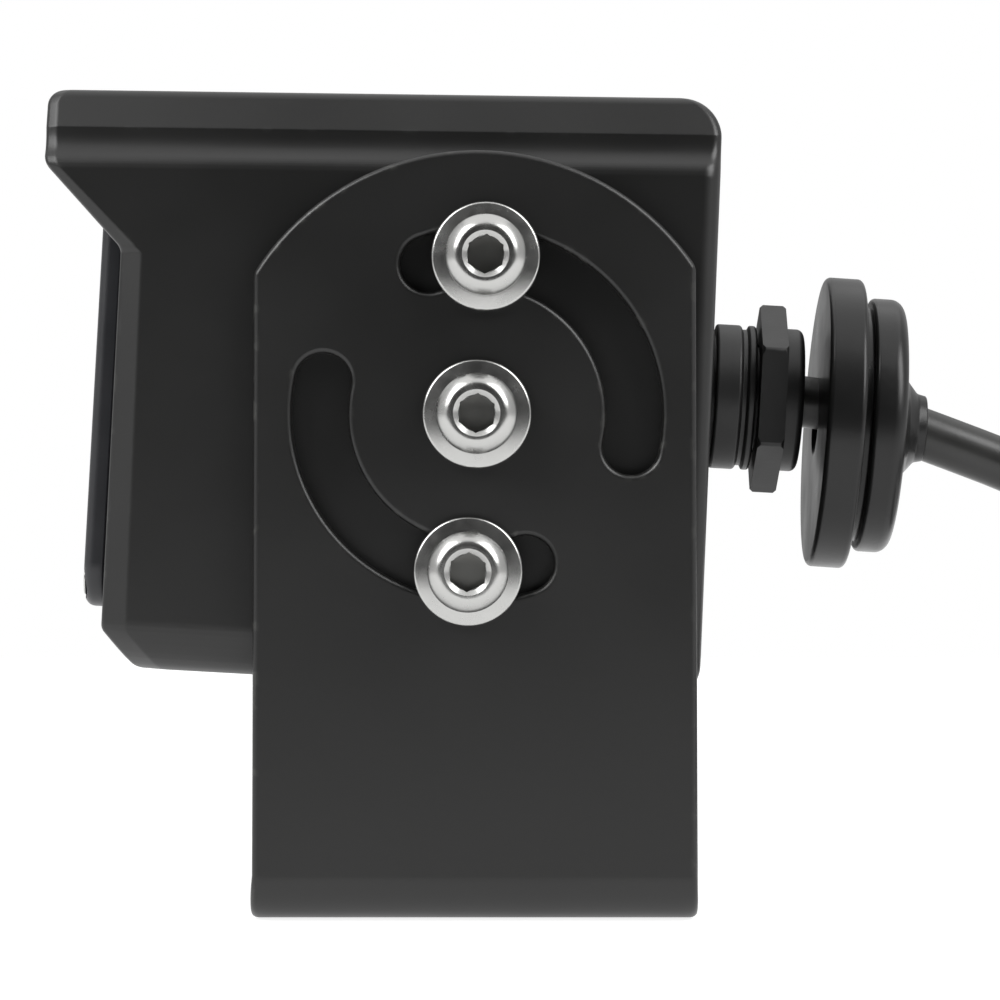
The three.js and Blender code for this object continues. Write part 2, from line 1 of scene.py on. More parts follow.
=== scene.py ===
# %% [markdown]
# # A backup camera on its U bracket
# The object is a camera for the back of a truck or trailer. A cast housing with a hood turns between
# the two arms of a bent steel bracket, three stainless screws on each side hold its tilt, and a cable
# leaves the rear through a gland and carries a rubber grommet for the body panel.
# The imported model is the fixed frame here: it gives every place and size, and each detailed piece made
# below rides on one of its bodies.
# %% Load the fixed frame
import json
import math
from itertools import product

import bmesh
import bpy
import numpy as np
from mathutils import Matrix, Vector


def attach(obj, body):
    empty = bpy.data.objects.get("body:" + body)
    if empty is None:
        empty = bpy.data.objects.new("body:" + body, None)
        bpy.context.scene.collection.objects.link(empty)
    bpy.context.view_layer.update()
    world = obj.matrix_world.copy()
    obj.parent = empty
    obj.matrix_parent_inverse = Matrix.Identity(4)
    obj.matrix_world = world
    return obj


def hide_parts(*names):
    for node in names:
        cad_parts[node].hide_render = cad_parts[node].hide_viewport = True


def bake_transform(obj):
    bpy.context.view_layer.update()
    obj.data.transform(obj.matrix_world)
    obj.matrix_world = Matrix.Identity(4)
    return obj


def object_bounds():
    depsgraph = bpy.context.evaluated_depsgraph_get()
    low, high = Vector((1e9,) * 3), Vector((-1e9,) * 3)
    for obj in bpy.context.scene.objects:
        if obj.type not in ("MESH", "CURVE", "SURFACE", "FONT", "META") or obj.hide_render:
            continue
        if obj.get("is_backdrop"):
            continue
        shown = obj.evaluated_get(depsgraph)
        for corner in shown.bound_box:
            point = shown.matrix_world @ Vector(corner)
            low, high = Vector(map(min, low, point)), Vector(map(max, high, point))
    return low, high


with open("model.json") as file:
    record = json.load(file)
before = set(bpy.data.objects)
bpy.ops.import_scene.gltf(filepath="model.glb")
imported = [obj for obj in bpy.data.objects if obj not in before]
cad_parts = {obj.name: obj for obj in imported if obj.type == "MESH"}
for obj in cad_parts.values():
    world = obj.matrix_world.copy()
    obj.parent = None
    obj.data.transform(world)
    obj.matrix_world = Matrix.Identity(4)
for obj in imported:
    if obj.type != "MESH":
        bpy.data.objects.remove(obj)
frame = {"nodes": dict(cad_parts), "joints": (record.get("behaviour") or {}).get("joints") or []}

cad_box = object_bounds()
print("frame:", len(frame["nodes"]), "nodes, size", [round(s, 4) for s in cad_box[1] - cad_box[0]])

# %% [markdown]
# ## Two coordinate frames
# The bracket stands on the mounting face, so its pieces are drawn from there. The head is drawn level
# about its tilt axis, which is how it would be drawn for the foundry, and then turned nose up to the
# angle that its clamp screws hold. Drawing it level keeps its walls along the axes. Lengths are in
# millimetres while a piece is made, because Blender's bevels and booleans work better on numbers
# near one, and the finished mesh is scaled to metres.
# %% Placing matrices
MM = 0.001
PIVOT = Vector(next(j["pos_m"] for j in frame["joints"] if j["name"] == "camera_tilt"))
REST_TILT = math.radians(3.2)
LEVEL = Matrix.Rotation(REST_TILT, 4, "Y")
ON_BRACKET = Matrix.Scale(MM, 4)
ON_HEAD = Matrix.Translation(PIVOT) @ LEVEL @ Matrix.Scale(MM, 4)
print("tilt axis", [round(p / MM, 2) for p in PIVOT], "mm, nose up", round(math.degrees(REST_TILT), 1))

# %% [markdown]
# ## The studio camera
# A long lens about 0.36 m to the side of the object, level, a little below the tilt axis: the near
# arm is seen square on, with a thin sight of the rounded edges around it.
# %% Camera
CAMERA_AT = (0.002, -0.3597, 0.03672)
LENS_MM = 133.2

camera_data = bpy.data.cameras.new("studio_camera")
camera_data.sensor_width = 36
camera_data.lens = LENS_MM
camera = bpy.data.objects.new("studio_camera", camera_data)
camera.location = CAMERA_AT
camera.rotation_euler = (math.pi / 2, 0, 0)
bpy.context.scene.collection.objects.link(camera)
bpy.context.scene.camera = camera
print("camera lens", round(camera_data.lens, 1), "mm")

# %% [markdown]
# ## A small material kit
# Every finish here is black, so what tells them apart is how they scatter light: the powder coat has
# a fine orange peel, nylon a faint grain, rubber and the jacket a soft gloss. All of
# that is roughness and bump, made from noise in the piece's own coordinates, in metres, so that the
# grain keeps its real size on every piece. Constant values stay on the shader's own sockets.
# %% Material helpers
def new_material(name, color, roughness, metallic=0.0, **sockets):
    material = bpy.data.materials.new(name)
    material.use_nodes = True
    shader = material.node_tree.nodes["Principled BSDF"]
    values = {"Base Color": (*color, 1), "Roughness": roughness, "Metallic": metallic, **sockets}
    for socket, value in values.items():
        shader.inputs[socket.replace("_", " ")].default_value = value
    return material


def add_node(material, kind, links=None, **values):
    """A node of that kind; links go to its inputs, and values to its inputs or its settings."""
    node = material.node_tree.nodes.new("ShaderNode" + kind)
    for key, value in values.items():
        if hasattr(node, key):
            setattr(node, key, value)
        else:
            node.inputs[key.replace("_", " ")].default_value = value
    for key, source in (links or {}).items():
        material.node_tree.links.new(source, node.inputs[key])
    return node


def shader_of(material):
    return material.node_tree.nodes["Principled BSDF"]


def to_shader(material, socket, source):
    material.node_tree.links.new(source, shader_of(material).inputs[socket])


def noise(material, size, detail=2.0, stretch=None):
    """Noise whose features have that size in metres; stretch scales the coordinates per axis."""
    place = add_node(material, "TexCoord").outputs["Object"]
    if stretch:
        place = add_node(material, "Mapping", {"Vector": place}, Scale=stretch).outputs["Vector"]
    return add_node(material, "TexNoise", {"Vector": place}, Scale=1 / size, Detail=detail).outputs["Fac"]


def spread(material, source, low, high, at=(0.3, 0.7)):
    """The source mapped from the range at to the range low..high."""
    mapped = add_node(material, "MapRange", {"Value": source})
    for socket, value in zip(("From Min", "From Max", "To Min", "To Max"), (*at, low, high)):
        mapped.inputs[socket].default_value = value
    return mapped.outputs["Result"]


def add_bump(material, height, distance, strength=1.0):
    bump = add_node(material, "Bump", {"Height": height}, Strength=strength, Distance=distance)
    return bump.outputs["Normal"]


# %% [markdown]
# ## Painted metal
# Housing and bracket are powder coated: a black film with a satin gloss, whose surface rolls gently
# over a fraction of a millimetre. At the edges the film flows out smoother, so they shine, and it
# catches small nicks there. A Bevel node finds those edges: where its rounded normal leaves the true
# one, an edge is near. Noise then breaks the mask into a few small nicks.
# %% Powder coat
EDGE_REACH = 0.0006
EDGE_GLOSS = 0.20


def edge_mask(material, radius):
    """One near an outside or inside edge, zero on open surfaces."""
    rounded_normal = add_node(material, "Bevel", Radius=radius).outputs["Normal"]
    flat_normal = add_node(material, "NewGeometry").outputs["Normal"]
    links = {0: rounded_normal, 1: flat_normal}
    facing = add_node(material, "VectorMath", links, operation="DOT_PRODUCT").outputs["Value"]
    return spread(material, facing, 1.0, 0.0, at=(0.86, 0.99))


def powder_coat(name, color, worn_color, roughness, nick_size=0.0016):
    material = new_material(name, color, roughness, **{"Specular IOR Level": 0.5})
    broad = noise(material, 0.02, detail=3.0)
    fine = noise(material, 0.0009)
    edge = edge_mask(material, EDGE_REACH)
    film_gloss = spread(material, broad, roughness - 0.03, roughness + 0.05)
    gloss = add_node(material, "Math", {0: edge, 2: film_gloss}, operation="MULTIPLY_ADD")
    gloss.inputs[1].default_value = -EDGE_GLOSS
    to_shader(material, "Roughness", gloss.outputs["Value"])
    nicks = spread(material, noise(material, nick_size, detail=4.0), 0.0, 1.0, at=(0.57, 0.63))
    worn = add_node(material, "Math", {0: edge, 1: nicks}, operation="MULTIPLY").outputs["Value"]
    film = add_node(material, "Mix", data_type="RGBA")
    film.inputs[6].default_value = (*color, 1)
    film.inputs[7].default_value = (*worn_color, 1)
    material.node_tree.links.new(worn, film.inputs[0])
    to_shader(material, "Base Color", film.outputs[2])
    to_shader(material, "Normal", add_bump(material, fine, 0.000012, strength=0.6))
    return material


HOUSING_PAINT = powder_coat("housing_paint", (0.005, 0.005, 0.0048), (0.10, 0.10, 0.095), 0.36)
BRACKET_PAINT = powder_coat("bracket_paint", (0.005, 0.005, 0.0048), (0.12, 0.12, 0.11), 0.38)
print("painted finishes:", HOUSING_PAINT.name, BRACKET_PAINT.name)

# %% [markdown]
# ## Plastics and rubber
# Nylon is moulded with a faint grain. Rubber and the cable's extruded jacket shine a little more. Wide
# soft patches vary the gloss of each, as handling and dust do.
# %% Nylon, rubber and cable jacket
GRAIN_DEPTH = 0.00001


def moulded(name, color, roughness, grain=0.0004, haze=0.06, shine=0.5):
    material = new_material(name, color, roughness, **{"Specular IOR Level": shine})
    patches = noise(material, 0.006, detail=4.0)
    to_shader(material, "Roughness", spread(material, patches, roughness - haze / 2, roughness + haze))
    to_shader(material, "Normal", add_bump(material, noise(material, grain), GRAIN_DEPTH, 0.7))
    return material


NYLON = moulded("nylon", (0.008, 0.008, 0.008), 0.42)
RUBBER = moulded("soft_rubber", (0.006, 0.006, 0.006), 0.30, grain=0.0006, shine=0.4)
JACKET = moulded("cable_jacket", (0.022, 0.022, 0.021), 0.30, grain=0.0005, haze=0.08)
PLUG_BODY = moulded("plug_body", (0.014, 0.014, 0.014), 0.45)
FRAME_BLACK = moulded("frame_black", (0.012, 0.0125, 0.015), 0.36, grain=0.0005)
OPTIC_BLACK = moulded("optic_black", (0.010, 0.010, 0.011), 0.4, grain=0.0003)

# %% [markdown]
# ## Bright metal
# Screws and washers are stainless steel, turned and barrel finished: bright, with fine scratches that
# spread a highlight across the grain. Short noise sets their roughness, and a stretched noise gives
# the scratches. The sockets get rougher steel whose darker colour is painted shade in the recess, and
# the ring of the connector is nickel plated brass, a little warmer.
# %% Stainless, nickel and brass
def bright_metal(name, color, roughness, scratch=0.00025):
    material = new_material(name, color, roughness, metallic=1.0)
    patches = noise(material, 0.0012, detail=2.0)
    to_shader(material, "Roughness", spread(material, patches, roughness - 0.02, roughness + 0.04))
    lines = noise(material, scratch, detail=3.0, stretch=(1.0, 1.0, 0.22))
    to_shader(material, "Normal", add_bump(material, lines, 0.000004, 0.5))
    return material


STAINLESS = bright_metal("stainless", (0.46, 0.46, 0.45), 0.24)
# The socket finish's higher roughness is real; its darker colour is painted shade in the socket's recess.
SOCKET_PAINTED_SHADE = bright_metal("socket_steel_painted_shade", (0.22, 0.22, 0.21), 0.34)
NICKEL = bright_metal("nickel", (0.62, 0.58, 0.50), 0.26)
BRASS = bright_metal("standoff_brass", (0.72, 0.50, 0.20), 0.30)

# %% [markdown]
# ## Glass, resin and boards
# The window is smoked acrylic: it lets a little light through, so lamps and lens show as dark shapes
# behind a hard reflection. A Principled shader with full transmission and a dark tint does that
# without painting any picture on the pane. Boards carry a solder mask with copper tracks below it.
# %% Clear and electronic finishes
def clear(name, color, roughness, passing, ior):
    return new_material(name, color, roughness, **{"Transmission Weight": passing, "IOR": ior})


SMOKED = clear("smoked_pane", (0.42, 0.43, 0.47), 0.03, 1.0, 1.49)
LENS_GLASS = clear("lens_glass", (0.55, 0.62, 0.72), 0.02, 0.9, 1.6)
LAMP_RESIN = clear("lamp_resin", (0.80, 0.80, 0.86), 0.06, 0.75, 1.52)
CHIP = moulded("chip", (0.015, 0.015, 0.017), 0.42, grain=0.0003)


def board_finish(name):
    material = new_material(name, (0.012, 0.07, 0.035), 0.35, **{"Coat Weight": 0.4})
    place = add_node(material, "TexCoord").outputs["Object"]
    cells = add_node(material, "TexVoronoi", {"Vector": place}, feature="DISTANCE_TO_EDGE", Scale=420.0)
    tracks = spread(material, cells.outputs["Distance"], 0.0, 1.0, at=(0.05, 0.09))
    mask = add_node(material, "Mix", data_type="RGBA")
    mask.inputs[6].default_value = (0.02, 0.13, 0.06, 1)
    mask.inputs[7].default_value = (0.010, 0.060, 0.030, 1)
    material.node_tree.links.new(tracks, mask.inputs[0])
    to_shader(material, "Base Color", mask.outputs[2])
    to_shader(material, "Normal", add_bump(material, tracks, 0.00003, 0.6))
    return material


BOARD = board_finish("board")
SENSOR_FACE = moulded("sensor_face", (0.20, 0.12, 0.04), 0.3, grain=0.0003)
print("finishes:", len(bpy.data.materials))

# %% [markdown]
# ## Outlines
# Sheet metal, castings and moulded caps all start as an outline with rounded corners. Each corner is
# given with its radius, and the arc is worked out from it, so the outline holds only the points that
# a drawing would.
# %% Rounded outlines
ARC_STEP = math.radians(7)


def arc_of(before, corner, after, radius, steps=None):
    """Points of the arc that rounds a corner between two straight stretches."""
    back, on = (before - corner).normalized(), (after - corner).normalized()
    half = math.acos(max(-1.0, min(1.0, back.dot(on)))) / 2
    centre = corner + (back + on).normalized() * (radius / math.sin(half))
    start = corner + back * (radius / math.tan(half)) - centre
    turn = math.pi - 2 * half
    side = 1 if back.cross(on) > 0 else -1
    steps = steps or max(2, math.ceil(turn / ARC_STEP))
    return [centre + Matrix.Rotation(-side * turn * k / steps, 2) @ start for k in range(steps + 1)]


def rounded(corners, closed=True):
    """An outline's points from its corners (x, y) or (x, y, radius)."""
    points, count = [], len(corners)
    for i, (x, y, *radius) in enumerate(corners):
        if not radius or not radius[0] or (not closed and i in (0, count - 1)):
            points.append(Vector((x, y)))
            continue
        before, after = Vector(corners[i - 1][:2]), Vector(corners[(i + 1) % count][:2])
        points += arc_of(before, Vector((x, y)), after, radius[0])
    return points


def rectangle(x0, y0, x1, y1, radius=0.0):
    return rounded([(x0, y0, radius), (x1, y0, radius), (x1, y1, radius), (x0, y1, radius)])


def hexagon(flats, turn=0.0, radius=0.0):
    reach = flats / 2 / math.cos(math.pi / 6)
    turns = [turn + i * math.pi / 3 for i in range(6)]
    return rounded([(reach * math.cos(a), reach * math.sin(a), radius) for a in turns])


# %% [markdown]
# ## Solids
# Three makers cover most pieces: a prism pushes an outline along an axis, a turning sweeps a profile
# round one, and a rod is the plainest turning. Sweeping in code instead of adding primitives lets
# each piece have its own profile, and enough segments that its silhouette is round.
# %% Prisms and turnings
def place(u, v, w, axis):
    """Outline coordinates u and v, and the distance w along the axis, as x, y and z."""
    return {"x": (w, u, v), "y": (u, w, v), "z": (u, v, w)}[axis]


def mesh_object(name, vertices, faces):
    mesh = bpy.data.meshes.new(name)
    mesh.from_pydata(vertices, [], faces)
    shell = bmesh.new()
    shell.from_mesh(mesh)
    bmesh.ops.recalc_face_normals(shell, faces=shell.faces)
    shell.to_mesh(mesh)
    shell.free()
    made = bpy.data.objects.new(name, mesh)
    bpy.context.scene.collection.objects.link(made)
    return made


def prism(name, outline, low, high, axis):
    count = len(outline)
    vertices = [place(u, v, w, axis) for w in (low, high) for u, v in outline]
    sides = [(i, (i + 1) % count, (i + 1) % count + count, i + count) for i in range(count)]
    return mesh_object(name, vertices, [tuple(range(count)), tuple(range(count, 2 * count)), *sides])


def turned(name, profile, axis="x", segments=96, centre=(0.0, 0.0)):
    """A turning from (radius, distance[, corner radius]) points; it closes on itself or on its axis."""
    ring_shape = profile[0][0] > 0
    line = rounded(profile, closed=ring_shape)
    vertices, rings = [], []
    for radius, distance in line:
        around = range(segments) if radius > 1e-6 else range(1)
        rings.append(range(len(vertices), len(vertices) + len(around)))
        for k in around:
            a = 2 * math.pi * k / segments
            u, v = centre[0] + radius * math.cos(a), centre[1] + radius * math.sin(a)
            vertices.append(place(u, v, distance, axis))
    faces = []
    pairs = list(zip(rings, rings[1:])) + ([(rings[-1], rings[0])] if ring_shape else [])
    for here, there in pairs:
        for k in range(segments):
            n = (k + 1) % segments
            corners = [ends[i % len(ends)] for ends, i in ((here, k), (here, n), (there, n), (there, k))]
            faces.append(tuple(dict.fromkeys(corners)))
    return mesh_object(name, vertices, [face for face in faces if len(face) > 2])


def rod(name, radius, start, end, axis="x", centre=(0.0, 0.0), segments=48):
    return turned(name, [(0, start), (radius, start), (radius, end), (0, end)], axis, segments, centre)


# %% [markdown]
# ## Cutting, joining and breaking edges
# Holes and slots are cut with exact booleans, applied at once so that every mesh stays plain. No real
# edge is perfectly sharp, so a small bevel then breaks the sharp ones, and weighted normals keep the
# flats flat in the light. The finishing call scales a piece to metres, puts it in place, gives it its
# finish and names the body that carries it.
# %% Booleans, bevels and finishing
def apply_modifiers(piece):
    bpy.context.view_layer.update()
    graph = bpy.context.evaluated_depsgraph_get()
    mesh = bpy.data.meshes.new_from_object(piece.evaluated_get(graph))
    piece.modifiers.clear()
    piece.data = mesh


def combine(piece, operation, *tools):
    for tool in tools:
        step = piece.modifiers.new(tool.name, "BOOLEAN")
        step.operation = operation
        step.solver = "EXACT"
        step.object = tool
    apply_modifiers(piece)
    for tool in tools:
        bpy.data.objects.remove(tool)
    return piece


def cut(piece, *tools):
    return combine(piece, "DIFFERENCE", *tools)


def join(piece, *tools):
    return combine(piece, "UNION", *tools)


def break_edges(piece, width, segments=3, angle=32, chosen=None, clamp=True):
    """Rounds the edges sharper than the angle, or only those whose middle passes the chosen test."""
    step = piece.modifiers.new("broken_edges", "BEVEL")
    step.width = width
    step.segments = segments
    step.use_clamp_overlap = clamp
    if chosen:
        shell = bmesh.new()
        shell.from_mesh(piece.data)
        weights = shell.edges.layers.float.new("bevel_weight_edge")
        for edge in shell.edges:
            middle = (edge.verts[0].co + edge.verts[1].co) / 2
            sharp = len(edge.link_faces) == 2 and edge.calc_face_angle() > math.radians(angle)
            edge[weights] = float(sharp and chosen(middle))
        shell.to_mesh(piece.data)
        shell.free()
        step.limit_method = "WEIGHT"
    else:
        step.limit_method = "ANGLE"
        step.angle_limit = math.radians(angle)
    apply_modifiers(piece)
    return piece


def finish_piece(piece, where, body, finish, nodes=(), smooth=32, flats=True):
    piece.data.transform(where)
    piece.data.shade_smooth()
    piece.data.set_sharp_from_angle(angle=math.radians(smooth))
    if flats:
        step = piece.modifiers.new("flat_shading", "WEIGHTED_NORMAL")
        step.keep_sharp = True
        apply_modifiers(piece)
    piece.data.materials.clear()
    piece.data.materials.append(finish)
    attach(piece, body)
    if nodes:
        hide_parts(*nodes)
    return piece


# %% [markdown]
# ## The cable's route
# The cord comes first, because its spare length decides how much room the object takes. It leaves the
# gland, carries the grommet, sinks in one loose curve to the surface, lies there in a coil of two
# turns and ends in its connector. The free run is a list of given points, rounded into a smooth
# line; the coil's turns come from a loop.
# %% Route of the cable
CABLE_RADIUS = 0.0025
COIL_CENTRE = Vector((0.092, 0.008, 0))
COIL_RADIUS = 0.0275
COIL_TURNS = 2
COIL_LIFT = 0.0013
PLUG_END = Vector((0.131, 0.008, 0.0073))

FREE_RUN = [
    (0.0246, 0, 0.04672),
    (0.028, 0, 0.04653),
    (0.0311, 0, 0.04632),
    (0.0342, 0, 0.04585),
    (0.0373, 0, 0.04515),
    (0.0402, 0, 0.0442),
    (0.043, 0, 0.04317),
    (0.0468, 0, 0.04175),
    (0.0506, 0, 0.04028),
    (0.0544, -0.0004, 0.0386),
    (0.0582, -0.0014, 0.03645),
    (0.062, -0.0031, 0.0337),
    (0.0658, -0.0053, 0.03042),
    (0.0696, -0.0079, 0.02684),
    (0.0736, -0.0106, 0.02327),
    (0.0778, -0.0133, 0.02),
    (0.0824, -0.016, 0.0172),
    (0.0872, -0.0183, 0.0151),
    (0.092, -0.0195, 0.0141),
]


def catmull_rom(points, steps):
    """A centripetal Catmull-Rom line through the points, with that many steps in each stretch."""
    ends = [points[0] * 2 - points[1], *points, points[-1] * 2 - points[-2]]
    line = []
    for p0, p1, p2, p3 in zip(ends, ends[1:], ends[2:], ends[3:]):
        t1 = (p1 - p0).length ** 0.5
        t2 = t1 + (p2 - p1).length ** 0.5
        t3 = t2 + (p3 - p2).length ** 0.5
        for k in range(steps):
            t = t1 + (t2 - t1) * k / steps
            a = p0.lerp(p1, t / t1)
            b = p1.lerp(p2, (t - t1) / (t2 - t1))
            c = p2.lerp(p3, (t - t2) / (t3 - t2))
            line.append(a.lerp(b, t / t2).lerp(b.lerp(c, (t - t1) / (t3 - t1)), (t - t1) / (t2 - t1)))
    return line + [points[-1].copy()]


def coil_turns(steps_per_turn=48):
    """The turns, wound down from the top layer to the lowest one."""
    top = FREE_RUN[-1][2]
    low = COIL_LIFT + CABLE_RADIUS
    count = COIL_TURNS * steps_per_turn
    turns = []
    for k in range(1, count + 1):
        angle = -math.pi / 2 + 2 * math.pi * k / steps_per_turn
        height = top + (low - top) * k / count
        x, y = COIL_RADIUS * math.cos(angle), COIL_RADIUS * math.sin(angle)
        turns.append(COIL_CENTRE + Vector((x, y, height)))
    return turns


def tail_points():
    start = COIL_CENTRE + Vector((0.0214, -0.0273, CABLE_RADIUS + COIL_LIFT))
    return [
        start,
        start + Vector((0.0063, 0.0021, 0.0002)),
        Vector((PLUG_END.x - 0.0064, COIL_CENTRE.y - 0.0186, 0.0046)),
        Vector((PLUG_END.x - 0.0018, COIL_CENTRE.y - 0.011, 0.0058)),
        PLUG_END + Vector((0, -0.0044, -0.0002)),
        PLUG_END + Vector((0, -0.0003, 0)),
    ]


turns = coil_turns()
free_run = catmull_rom([Vector(p) for p in FREE_RUN], 4)
tail = catmull_rom([turns[-1], *tail_points()], 6)
route = free_run + turns[:-1] + tail

# %% [markdown]
# ## The cable's jacket
# A tube of rings along the route. Each ring is carried on from the last one without twist, so the
# jacket's surface doesn't wring.
# %% Cable mesh
def tube(name, line, radius, sides=24):
    rings, side_way = [], None
    for i, point in enumerate(line):
        ahead = (line[min(i + 1, len(line) - 1)] - line[max(i - 1, 0)]).normalized()
        side_way = (side_way or ahead.orthogonal()).cross(ahead).cross(ahead) * -1
        side_way.normalize()
        other = ahead.cross(side_way)
        turns_round = [2 * math.pi * k / sides for k in range(sides)]
        rings.append([point + (side_way * math.cos(a) + other * math.sin(a)) * radius for a in turns_round])
    vertices = [v for ring in rings for v in ring]
    faces = [tuple(range(sides)), tuple(range(len(vertices) - sides, len(vertices)))]
    for i, k in product(range(len(rings) - 1), range(sides)):
        n = (k + 1) % sides
        faces.append((i * sides + k, i * sides + n, (i + 1) * sides + n, (i + 1) * sides + k))
    return mesh_object(name, vertices, faces)


cable = tube("lead", route, CABLE_RADIUS)
cable.data.shade_smooth()
cable.data.set_sharp_from_angle(angle=math.radians(50))
cable.data.materials.append(JACKET)
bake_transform(cable)
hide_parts("cable", "cable_coil", "cable_tail")

# %% [markdown]
# ## The grommet
# A rubber disc for the hole in the truck's panel: two flanges with a groove between them for the sheet
# metal, and a boot that tapers onto the cable. It is one moulding, turned here from its profile, with
# a bore that the cable fills. It hangs on the cable just behind the gland, a little off square.
# %% Grommet
GROMMET_TILT = math.radians(3.8)
GROMMET_PLACE = Vector((32.63, 0, PIVOT.z / MM + 0.14))


def grommet():
    profile = [
        (2.75, 0.5),
        (3.3, 0, 0.3),
        (14.05, 0, 0.55),
        (14.05, 3.65, 0.55),
        (11.2, 3.65, 0.2),
        (11.2, 4.5, 0.25),
        (12.3, 4.5, 0.5),
        (12.3, 7.75, 1.3),
        (7.2, 7.75, 1.6),
        (4.5, 8.75, 1.2),
        (3.35, 9.7, 0.6),
        (3.15, 10.6, 0.2),
        (2.7, 10.6),
    ]
    made = turned("panel_grommet", profile, "x", segments=128)
    turn = Matrix.Rotation(GROMMET_TILT, 4, "Y")
    made.data.transform(Matrix.Translation(GROMMET_PLACE) @ turn)
    return finish_piece(made, ON_BRACKET, "camera", RUBBER, ["cable_grommet"], smooth=50)


panel_grommet = grommet()
print("grommet diameter", round(panel_grommet.dimensions.z / MM, 1), "mm")

# %% [markdown]
# ## The connector and the tie
# The lead ends in a round four-pin connector: a moulded body that tapers onto the cable, a metal
# insert with its pins, and a coupling ring with grip flutes that turns on the body. A nylon tie with
# its small lock holds the coil. The flutes are cut with rods set round the ring.
# %% Connector
PLUG_AT = PLUG_END / MM
PLUG_AXIS = (PLUG_AT.x, PLUG_AT.z)


def ring_profile(inner, outer, start, end):
    return [(inner, start), (outer, start), (outer, end), (inner, end)]


def connector_body():
    y = PLUG_AT.y
    profile = [
        (0, y),
        (3.3, y, 0.4),
        (4.0, y + 5, 3),
        (5.8, y + 9, 1.5),
        (6.6, y + 9.6, 0.3),
        (6.6, y + 17, 0.4),
        (5.4, y + 17.4, 0.1),
        (5.4, y + 30, 0.3),
        (4.7, y + 30, 0.15),
        (4.7, y + 22),
        (0, y + 22),
    ]
    made = turned("plug_body", profile, "y", centre=PLUG_AXIS)
    for i in range(3):
        groove = ring_profile(3.2, 5.4, y + 2.0 + 1.5 * i, y + 2.7 + 1.5 * i)
        cut(made, turned(f"relief_{i}", groove, "y", 64, PLUG_AXIS))
    return finish_piece(made, ON_BRACKET, "bracket", PLUG_BODY, ["connector_body"])


def connector_insert():
    y = PLUG_AT.y
    plate = [(0, y + 22.3), (4.4, y + 22.3, 0.2), (4.4, y + 24, 0.2), (0, y + 24)]
    made = turned("plug_insert", plate, "y", centre=PLUG_AXIS)
    pins = []
    for dx, dz in product((-1.6, 1.6), repeat=2):
        profile = [(0, y + 23.5), (0.5, y + 23.5), (0.5, y + 28.6, 0.3), (0, y + 28.6)]
        pins.append(turned("pin", profile, "y", 24, (PLUG_AT.x + dx, PLUG_AT.z + dz)))
    join(made, *pins)
    return finish_piece(made, ON_BRACKET, "bracket", NICKEL, ["connector_insert"])


def connector_ring():
    y = PLUG_AT.y
    profile = [(5.7, y + 17.7, 0.2), (7, y + 17.7, 0.3), (7, y + 27.3, 0.5), (5.7, y + 27.3, 0.2)]
    made = turned("plug_ring", profile, "y", 144, PLUG_AXIS)
    flutes = []
    count = 24
    for k in range(count):
        a = 2 * math.pi * k / count
        at = (PLUG_AT.x + 7.35 * math.cos(a), PLUG_AT.z + 7.35 * math.sin(a))
        flutes.append(rod(f"flute_{k}", 0.6, y + 19, y + 26, "y", at, 16))
    grip = flutes[0]
    join_meshes(grip, flutes[1:])
    cut(made, grip)
    return finish_piece(made, ON_BRACKET, "coupling_ring", NICKEL, ["connector_ring"])


def join_meshes(first, others):
    """Puts separate closed meshes into one object."""
    whole = bmesh.new()
    for part in (first, *others):
        whole.from_mesh(part.data)
    whole.to_mesh(first.data)
    whole.free()
    for part in others:
        bpy.data.objects.remove(part)
    return first


plug_body, plug_insert, plug_ring = connector_body(), connector_insert(), connector_ring()
print("connector length", round(plug_body.dimensions.y / MM, 1), "mm")

# %% Tie round the coil
TIE_ANGLE = math.radians(60)


def coil_tie():
    height = (COIL_LIFT + COIL_TURNS * 2 * CABLE_RADIUS) / MM + 1.3
    reach = COIL_RADIUS / MM
    side = CABLE_RADIUS / MM + 1.3
    band = prism("coil_tie", rectangle(reach - side, 0, reach + side, height, 1.4), -2, 2, "y")
    hole = prism("hole", rectangle(reach - side + 1, 1, reach + side - 1, height - 1, 0.6), -3, 3, "y")
    cut(band, hole)
    lock = prism("lock", rectangle(-2.6, -1.9, 2.6, 1.9, 0.5), 0, 2.9, "x")
    lock.data.transform(Matrix.Translation((reach + side - 0.4, 0, height / 2 + 0.6)))
    join(band, lock)
    break_edges(band, 0.15)
    turn = Matrix.Rotation(TIE_ANGLE, 4, "Z")
    band.data.transform(Matrix.Translation(COIL_CENTRE / MM) @ turn)
    return finish_piece(band, ON_BRACKET, "bracket", NYLON, ["cable_tie"])


tie = coil_tie()

# %% [markdown]
# ## The bracket
# One strip of 2 mm steel, bent twice into a U: each arm has a rounded end about the tilt axis, a pivot
# hole, and two arc slots that the clamp screws slide in. The strip's section is pushed along X, its
# slots and holes are cut, and the arm's outline trims it. Every edge then gets a round of half a
# millimetre. Where the press bends it, the metal swells a little past the strip's edges, so the
# vertices of the bends move outwards.
# %% Bracket
BRACKET_HALF = 38
ARM_THICK = 2
ARM_FRONT, ARM_REAR = -19.45, 19.05
ARM_ARC = 23
BEND_RADIUS = 4
CLAMP_RADIUS = 13.7
SLOT_HALF = 2.45
SLOT_FROM, SLOT_TO = math.radians(-12), math.radians(108)
BEND_SWELL = 0.28
BEND_TOP = 5.5
BEND_START = 31
EDGE_ROUND = 0.5
PIVOT_HOLE = 4.8
BASE_HOLE = 5.0
BASE_HOLES = ((-11, 11), (-25, 25))


def arc(radius, start, end, centre=(0.0, 0.0)):
    steps = max(2, math.ceil(abs(end - start) / math.radians(3)))
    angles = [start + (end - start) * k / steps for k in range(steps + 1)]
    return [Vector((centre[0] + radius * math.cos(a), centre[1] + radius * math.sin(a))) for a in angles]


